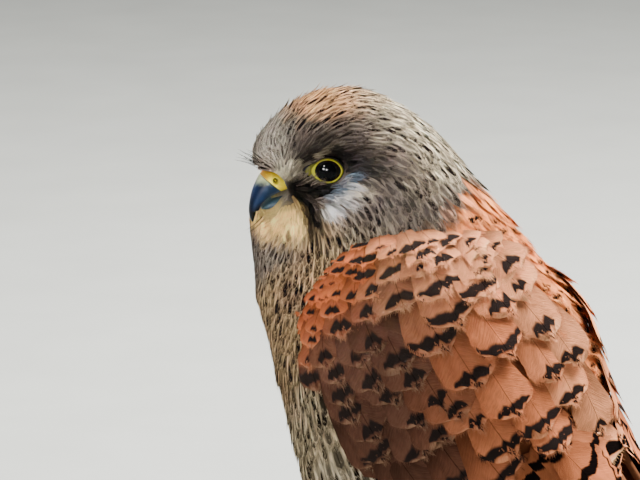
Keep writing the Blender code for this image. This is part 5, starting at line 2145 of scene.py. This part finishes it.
@dataclass(frozen=True)
class LegForm:
    """Feathered shin, bare shank, toes and claws."""

    shank: tuple = (
        ((19.8, 9.6, 47.4), 2.9, 3.6),
        ((19.9, 9.2, 43.5), 3.0, 3.7),
        ((20.0, 7.6, 37.0), 2.2, 2.8),
        ((20.1, 4.6, 24.0), 2.1, 2.6),
        ((20.2, 2.4, 13.0), 2.4, 2.9),
        ((20.2, 1.6, 8.6), 2.9, 3.2),
    )
    top: tuple[float, float, float] = (20.2, 1.3, 6.9)
    ball: tuple = (
        (0.0, 1.35, 2.7, 3.0),
        (0.0, 0.2, 3.6, 3.9),
        (-0.2, -2.6, 4.0, 4.3),
        (-0.2, -5.4, 3.6, 3.8),
        (-0.2, -7.9, 2.4, 2.6),
    )
    # Heading from straight ahead towards the outside, length, root radius, claw's length.
    toes: tuple = (
        ("inner", -27.0, 17.5, 2.45, 10.0),
        ("middle", 3.0, 26.5, 2.35, 9.5),
        ("outer", 36.0, 19.5, 2.2, 8.5),
        ("hind", 186.0, 13.0, 2.4, 10.5),
    )
    toe_height: float = 1.75
    claw_radius: float = 1.35
    claw_sweep: float = math.radians(105)
    claw_lift: float = math.radians(38)
    gap: float = 0.3
    # One plate: half sizes along and across, and its outline as shares and heights.
    plate_size: Pair = (0.62, 1.30)
    plate: tuple = ((0.5, -0.45), (1.0, -0.35), (1.0, 0.05), (0.85, 0.20), (0.5, 0.27))

    def toe(self, side: Side, heading: float, length: float, radius: float) -> tuple[Array, Array, Array]:
        """A toe with its joints and its ragged sole.

        Args:
            side: The bird's side.
            heading: Degrees from straight ahead towards the outside.
            length: Its length.
            radius: Its radius at the root.

        Returns:
            Its rings, its heading and the line along its top.
        """
        angle = math.radians(heading)
        way = np.array([math.sin(angle) * side.value, -math.cos(angle), 0.0])
        across = np.cross(way, UP)
        top = np.array(self.top) * (side.value, 1, 1)
        q = np.linspace(0, 1, 60)
        fall = (1 - q) ** 3 * 1.6
        line = xyz(top[0], top[1], self.toe_height + fall)
        line = line + way * (length * q + 2.0)[:, None]
        swell = radius * (1.0 - 0.20 * q + 0.10 * np.cos(q * 3 * math.tau))
        swell = swell * np.sqrt(np.clip(1 - (np.clip(q - 0.93, 0, 1) / 0.085) ** 2, 0.1, 1))
        turn = circle(28)
        grain = np.sin(turn * 9) * np.sin(q * length * 5.5)[:, None] * (np.sin(turn) < 0.2)
        ring = np.cos(turn)[None, :, None] * across + np.sin(turn)[None, :, None] * UP
        rings = line[:, None] + ring * (swell[:, None] * (1 + 0.035 * grain))[..., None]
        rings[..., 2] = np.maximum(rings[..., 2], 0.02)
        return rings, way, line + UP * swell[:, None]

    def claw(self, side: Side, way: Array, length: float, reach: float) -> Array:
        """A claw's rings: out of the toe's end, over and down to just above the floor.

        Args:
            side: The bird's side.
            way: The toe's heading.
            length: The claw's length.
            reach: The toe's length.

        Returns:
            The rings.
        """
        across = np.cross(way, UP)
        foot = np.array(self.top) * (side.value, 1, 1) + way * (reach + 2.2)
        start = np.array([foot[0], foot[1], self.toe_height + 0.35]) + way * (self.gap - 0.2)
        sweep = self.claw_sweep
        bow, turn, rings = length / sweep, circle(24), []
        for q in np.linspace(0, 1, 30):
            angle = sweep * q - self.claw_lift * min(1.0, q * 1.5) * (1 - q)
            dip = bow * (math.cos(sweep * q) - 1) * 0.30
            centre = start + way * bow * math.sin(sweep * q) * 0.9 + UP * dip
            heading = way * math.cos(angle * 0.5) - UP * math.sin(angle * 0.5)
            normal = np.cross(across, heading)
            r = (self.claw_radius * (1 - q) ** 0.8 + 0.12) * min(1.0, 0.75 + 3 * q)
            ring = np.cos(turn)[:, None] * across * 0.8 + np.sin(turn)[:, None] * normal
            rings.append(centre + r * ring)
        rings = np.array(rings)
        rings[..., 2] += max(0.0, 0.05 - rings[..., 2].min())
        return rings

    def leg(self, side: Side, scales: Any, horn: Any, setter: PointSetter) -> None:
        """Builds and hands over one leg's shank, foot, plates and claws.

        Args:
            side: The bird's side.
            scales: Finish of the skin.
            horn: Finish of the claws.
            setter: What sets the plates.
        """
        piece = ring_piece(f"shank_skin_{side.word}", limb_rings(self.shank, 90, 36, side), {}, scales)
        hand_over(piece, "scaled_skin", "shank_" + side.word)
        stock = MeshStock()
        top = np.array(self.top)
        ball = [(top + (0, y, z), across, deep) for y, z, across, deep in self.ball]
        rings = limb_rings(ball, 40, 36, side)
        rings[..., 2] = np.maximum(rings[..., 2], 0.0)
        add_rings(stock, rings, {})
        spots, ways, outs = self.shank_plates(side)
        for name, heading, length, radius, claw in self.toes:
            rings, way, ridge = self.toe(side, heading, length, radius)
            add_rings(stock, rings, {})
            rings = self.claw(side, way, claw, length)
            piece = ring_piece(f"claw_horn_{side.word}_{name}", rings, {}, horn)
            hand_over(piece, "horn", f"claw_{side.word}_{name}")
            chosen = ridge[6:57:3]
            spots.append(chosen - (0, 0, 0.05))
            ways.append(np.broadcast_to(way, chosen.shape))
            outs.append(np.broadcast_to(UP, chosen.shape))
        hand_over(stock.make(f"foot_skin_{side.word}", scales), "scaled_skin", "foot_" + side.word)
        turn, (long, wide) = circle(12), self.plate_size
        plate = [xyz(long * r * np.cos(turn), wide * r * np.sin(turn), z) for r, z in self.plate]
        shape = small_shape("plate", np.array(plate))
        points, way, out = (np.concatenate(given) for given in (spots, ways, outs))
        piece = setter.apply(f"leg_plates_{side.word}", points, way, out, shape, 0.10)
        hand_over(piece, "scaled_skin")

    def shank_plates(self, side: Side) -> tuple[list[Array], list[Array], list[Array]]:
        """Places and directions of the plates down the front of the shank, in two rows.

        Args:
            side: The bird's side.

        Returns:
            Places, the plates' X, and their Z.
        """
        spots, ways, outs = [], [], []
        table = through(limb_table(self.shank), np.linspace(0.1, 4.9, 30))
        for lane in (-1, 1):
            angle = -math.pi / 2 + lane * 0.42 + 0 * table[:, 0]
            normal = xyz(np.cos(angle) / table[:, 3], np.sin(angle) / table[:, 4], 0)
            spot = table[:, :3] + xyz(table[:, 3] * np.cos(angle), table[:, 4] * np.sin(angle), 0.6 * lane)
            flip = (side.value, 1, 1)
            spots.append(spot * flip)
            outs.append(unit(normal) * flip)
            ways.append(np.broadcast_to(-UP, spot.shape))
        return spots, ways, outs


@dataclass(frozen=True)
class ShinCoat:
    """Soft feathers that hang down both shins."""

    finish: Any
    count: int = 900
    seed: int = 31
    length: float = 8.0
    shorter: float = 0.9
    # How far the skin's rows lie apart along the leg.
    steps: tuple = (14.9, 14.9, 13.0, 11.5, 6.5)
    cut: VaneCut = VaneCut(6, 5, 8, hair_wide=0.10)

    def build(self) -> Any:
        """The feathers of both shins.

        Returns:
            The piece.
        """
        chance, stock, count = np.random.default_rng(self.seed), MeshStock(), self.count
        table, q, sink = limb_table(Skin.shin_rows), self.cut.places(), Skin.shin_depth
        for side in Side:
            row, around = chance.uniform(0.0, 4.75, count), chance.uniform(0, math.tau, count)
            length = self.length - self.shorter * row
            drop = np.array(self.steps)[np.minimum(row.astype(int), 4)]
            rows = np.clip(row[:, None] + (length / drop)[:, None] * q, 0, 5)
            made = through(table, rows.ravel()).reshape(count, -1, 5)
            cosine, sine = np.cos(around)[:, None], np.sin(around)[:, None]
            normal = unit(xyz(cosine / made[..., 3], sine / made[..., 4], 0))
            path = made[..., :3] + xyz(made[..., 3] * cosine, made[..., 4] * sine, 0)
            path = path + normal * (-sink + (sink + chance.uniform(0.0, 0.5, (count, 1))) * q)[..., None]
            flip = np.array([side.value, 1, 1])
            ground = np.array(MARKS.breast) * chance.uniform(0.85, 1.12, (count, 1))
            marks = even((0.35, 0.3, 0.0), (count,))
            uv = xyz(around / math.tau, row / 5 * 0.48 + 0.5 * (side is Side.LEFT)) * 0.98 + 0.01
            wide, roll, seed = length * 0.17, np.zeros(count), self.seed + side.value
            Feathers(
                self.cut, path * flip, normal * flip, wide, roll, ground, marks, uv, 1.0, seed
            ).build(stock)
        return stock.make("shin_feathers", self.finish)


def build_legs(soft: Any) -> None:
    """Both legs.

    Args:
        soft: Finish of the shins' feathers.
    """
    form = LegForm()
    scales = ScaleFinish().build()
    horn = PlainFinish("claw_black", linear(22, 21, 22), 0.25, 0.6).build()
    setter = PointSetter("set_plates", scales)
    for side in Side:
        form.leg(side, scales, horn, setter)
    hand_over(ShinCoat(soft).build(), "breast_plumage")


@dataclass(frozen=True)
class Studio:
    """A plain pale floor, soft lights and the camera at the photo's angle."""

    azimuth: float = 115.0
    elevation: float = 11.0
    distance: float = 2000.0
    picture: Pair = (640, 480)
    scale: float = 3.3
    eye: tuple[float, float, float] = (20.7, -32.7, 214.0)
    eye_pixel: Pair = (326.8, 170.3)
    sensor: float = 36.0
    floor_size: float = 14.0
    floor_colour: Colour = (0.50, 0.52, 0.50)
    sky: tuple = (0.80, 0.86, 0.90, 1.0)
    sky_strength: float = 0.11
    # Name, place to the right, up and back of the eye, size, power, spread and colour.
    rig: tuple = (
        ("key", 0.60, 1.2, -0.40, 0.6, 104.0, 180, (1.0, 0.97, 0.92)),
        ("side", -1.2, 0.9, 0.5, 0.9, 5.0, 180, (0.95, 0.98, 1.0)),
        ("front", -0.2, 0.6, 1.8, 1.2, 2.0, 180, (1.0, 1.0, 1.0)),
        ("face", -0.7, 0.35, 0.9, 0.06, 0.050, 7, (1.0, 1.0, 1.0)),
        ("catch_left", -0.80, -0.02, 0.89, 0.20, 45.0, 180, (1.0, 1.0, 1.0)),
        ("catch_right", -0.43, -0.11, 1.12, 0.20, 45.0, 180, (1.0, 1.0, 1.0)),
    )

    def axes(self) -> tuple[Vector, Vector, Vector]:
        """The camera's right, up and back.

        Returns:
            Three unit vectors.
        """
        a, e = math.radians(self.azimuth), math.radians(self.elevation)
        back = Vector((math.sin(a) * math.cos(e), -math.cos(a) * math.cos(e), math.sin(e)))
        right = Vector((math.cos(a), math.sin(a), 0))
        return right, back.cross(right), back

    def build(self) -> None:
        """Everything that isn't the bird."""
        self.camera()
        self.floor()
        self.lights()

    def camera(self) -> None:
        """The camera, aimed so that the eye falls on its pixel."""
        right, up, back = self.axes()
        lens = bpy.data.cameras.new("camera")
        lens.sensor_width = self.sensor
        lens.clip_start, lens.clip_end = 0.05, 50.0
        lens.lens = self.scale * self.distance * self.sensor / self.picture[0]
        anchor = Vector(self.eye + STANDS_AT) * MM
        aim = anchor - right * ((self.eye_pixel[0] - self.picture[0] / 2) / self.scale * MM)
        aim = aim + up * ((self.eye_pixel[1] - self.picture[1] / 2) / self.scale * MM)
        camera = placed_object("camera", lens)
        turn = Matrix((right, up, back)).transposed().to_4x4()
        turn.translation = aim + back * self.distance * MM
        camera.matrix_world = turn
        bpy.context.scene.camera = camera

    def floor(self) -> None:
        """A wide pale floor just under the feet."""
        bpy.ops.mesh.primitive_plane_add(size=self.floor_size, location=(0, 0, -0.2 * MM))
        floor = bpy.context.object
        floor.name = "floor"
        floor.data.materials.append(PlainFinish("pale_floor", self.floor_colour, 0.8, 0.02).build())

    def lights(self) -> None:
        """A key behind and to the right, soft fills and two small lights for the eye."""
        right, up, back = self.axes()
        target = Vector(self.eye + STANDS_AT) * MM
        for name, x, y, z, size, power, spread, colour in self.rig:
            light = bpy.data.lights.new(name, "AREA")
            light.energy, light.size, light.color = power, size, colour
            light.spread = math.radians(spread)
            lamp = placed_object(name, light)
            # The two catch lights only show in wet and polished pieces.
            lamp.visible_diffuse = not name.startswith("catch")
            lamp.location = target + right * x + up * y + back * z
            lamp.rotation_euler = (lamp.location - target).to_track_quat("Z", "Y").to_euler()
        world = bpy.data.worlds.new("studio")
        world.use_nodes = True
        sky = world.node_tree.nodes["Background"].inputs
        sky[0].default_value, sky[1].default_value = self.sky, self.sky_strength
        bpy.context.scene.world = world


def hand_over(piece: Any, slot: str, *nodes: str) -> None:
    """Rides a piece on the bird and hides the solids it stands for.

    Args:
        piece: The object.
        slot: Not used.
        *nodes: The solids it stands for.
    """
    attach(piece, "root")
    if nodes:
        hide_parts(*nodes)
    LOG.info("%s stands for %s", piece.name, ", ".join(nodes) or "nothing of its own")


def main() -> None:
    """Builds the bird piece by piece, and the studio."""
    logging.basicConfig(level=logging.INFO, format="%(name)s: %(message)s")
    soft = PlumageFinish("soft_plumage", barb_depth=1.0, barb_width=0.38, strands=True).build()
    back = PlumageFinish("back_plumage", barb_depth=0.35).build()

    skin = Skin().build(SkinFinish().build())
    hand_over(skin, "head_plumage", "head", "neck", "torso", "shin_left", "shin_right")
    tiny = VaneCut(6, 3, 8, hair_wide=0.045, side_share=0.6, tip_wide=0.2, point=1.6)
    slim = VaneCut(7, 3, 12, hair_wide=0.05, side_share=0.6, tip_wide=0.15, point=1.4)
    middling = VaneCut(8, 5, 16, hair_wide=0.06, side_share=0.6, tip_wide=0.15, point=1.5)
    large = VaneCut(9, 5, 24, hair_wide=0.08, side_share=0.6, tip_wide=0.2, point=1.7)
    broad = VaneCut(12, 9, 44, hair_wide=0.08, side_share=0.5, split=0.08)
    coat = BodyCoat(soft, back)
    zones = (
        CoatZone("face_feathers", (0.1, 4.0), 0.72, 0.95, tiny, slimness=0.30, uneven=0.2, seed=11),
        CoatZone("crown_feathers", (3.8, 6.2), 1.05, 1.8, slim, slimness=0.25, uneven=0.24, seed=12),
        CoatZone("ear_feathers", (6.0, 8.2), 1.5, 2.8, slim, slimness=0.26, uneven=0.3, seed=13),
        CoatZone("neck_feathers", (7.9, 10.2), 2.3, 4.4, middling, slimness=0.28, uneven=0.36, seed=14),
        CoatZone("breast_feathers", (10.0, 13.4), 3.3, 4.8, large, turns=(38, 180), slimness=0.46, seed=15),
        CoatZone("belly_feathers", (13.2, 16.9), 3.4, 4.8, large, turns=(38, 180), slimness=0.50, seed=16),
        CoatZone("mantle_feathers", (9.5, 16.9), 4.2, 4.2, broad, (0, 52), 0.62, spots=2.6, seed=17),
    )
    for zone in zones:
        hand_over(coat.build(zone), "head_plumage")
    covert = PlumageFinish(
        "covert_plumage", barb_depth=0.4, fringe=linear(196, 160, 124), barb_width=0.42, mark_depth=4.8,
        root_dark=0.7, shows=0.9, own=0.45, mark=linear(42, 34, 32),
    ).build()
    flight = PlumageFinish("flight_plumage", barb_depth=0.25, bars=13.0, mark_depth=7.0).build()
    for side in Side:
        first, second = WingCoat(side).build(covert, flight)
        hand_over(first, "wing_plumage", "wing_" + side.word)
        hand_over(second, "wing_plumage")
    build_bill()
    build_eyes()
    build_legs(soft)
    first, second = TailCoat().build(flight, soft)
    hand_over(first, "wing_plumage", "tail")
    hand_over(second, "wing_plumage")
    Studio().build()


if __name__ == "__main__":
    main()
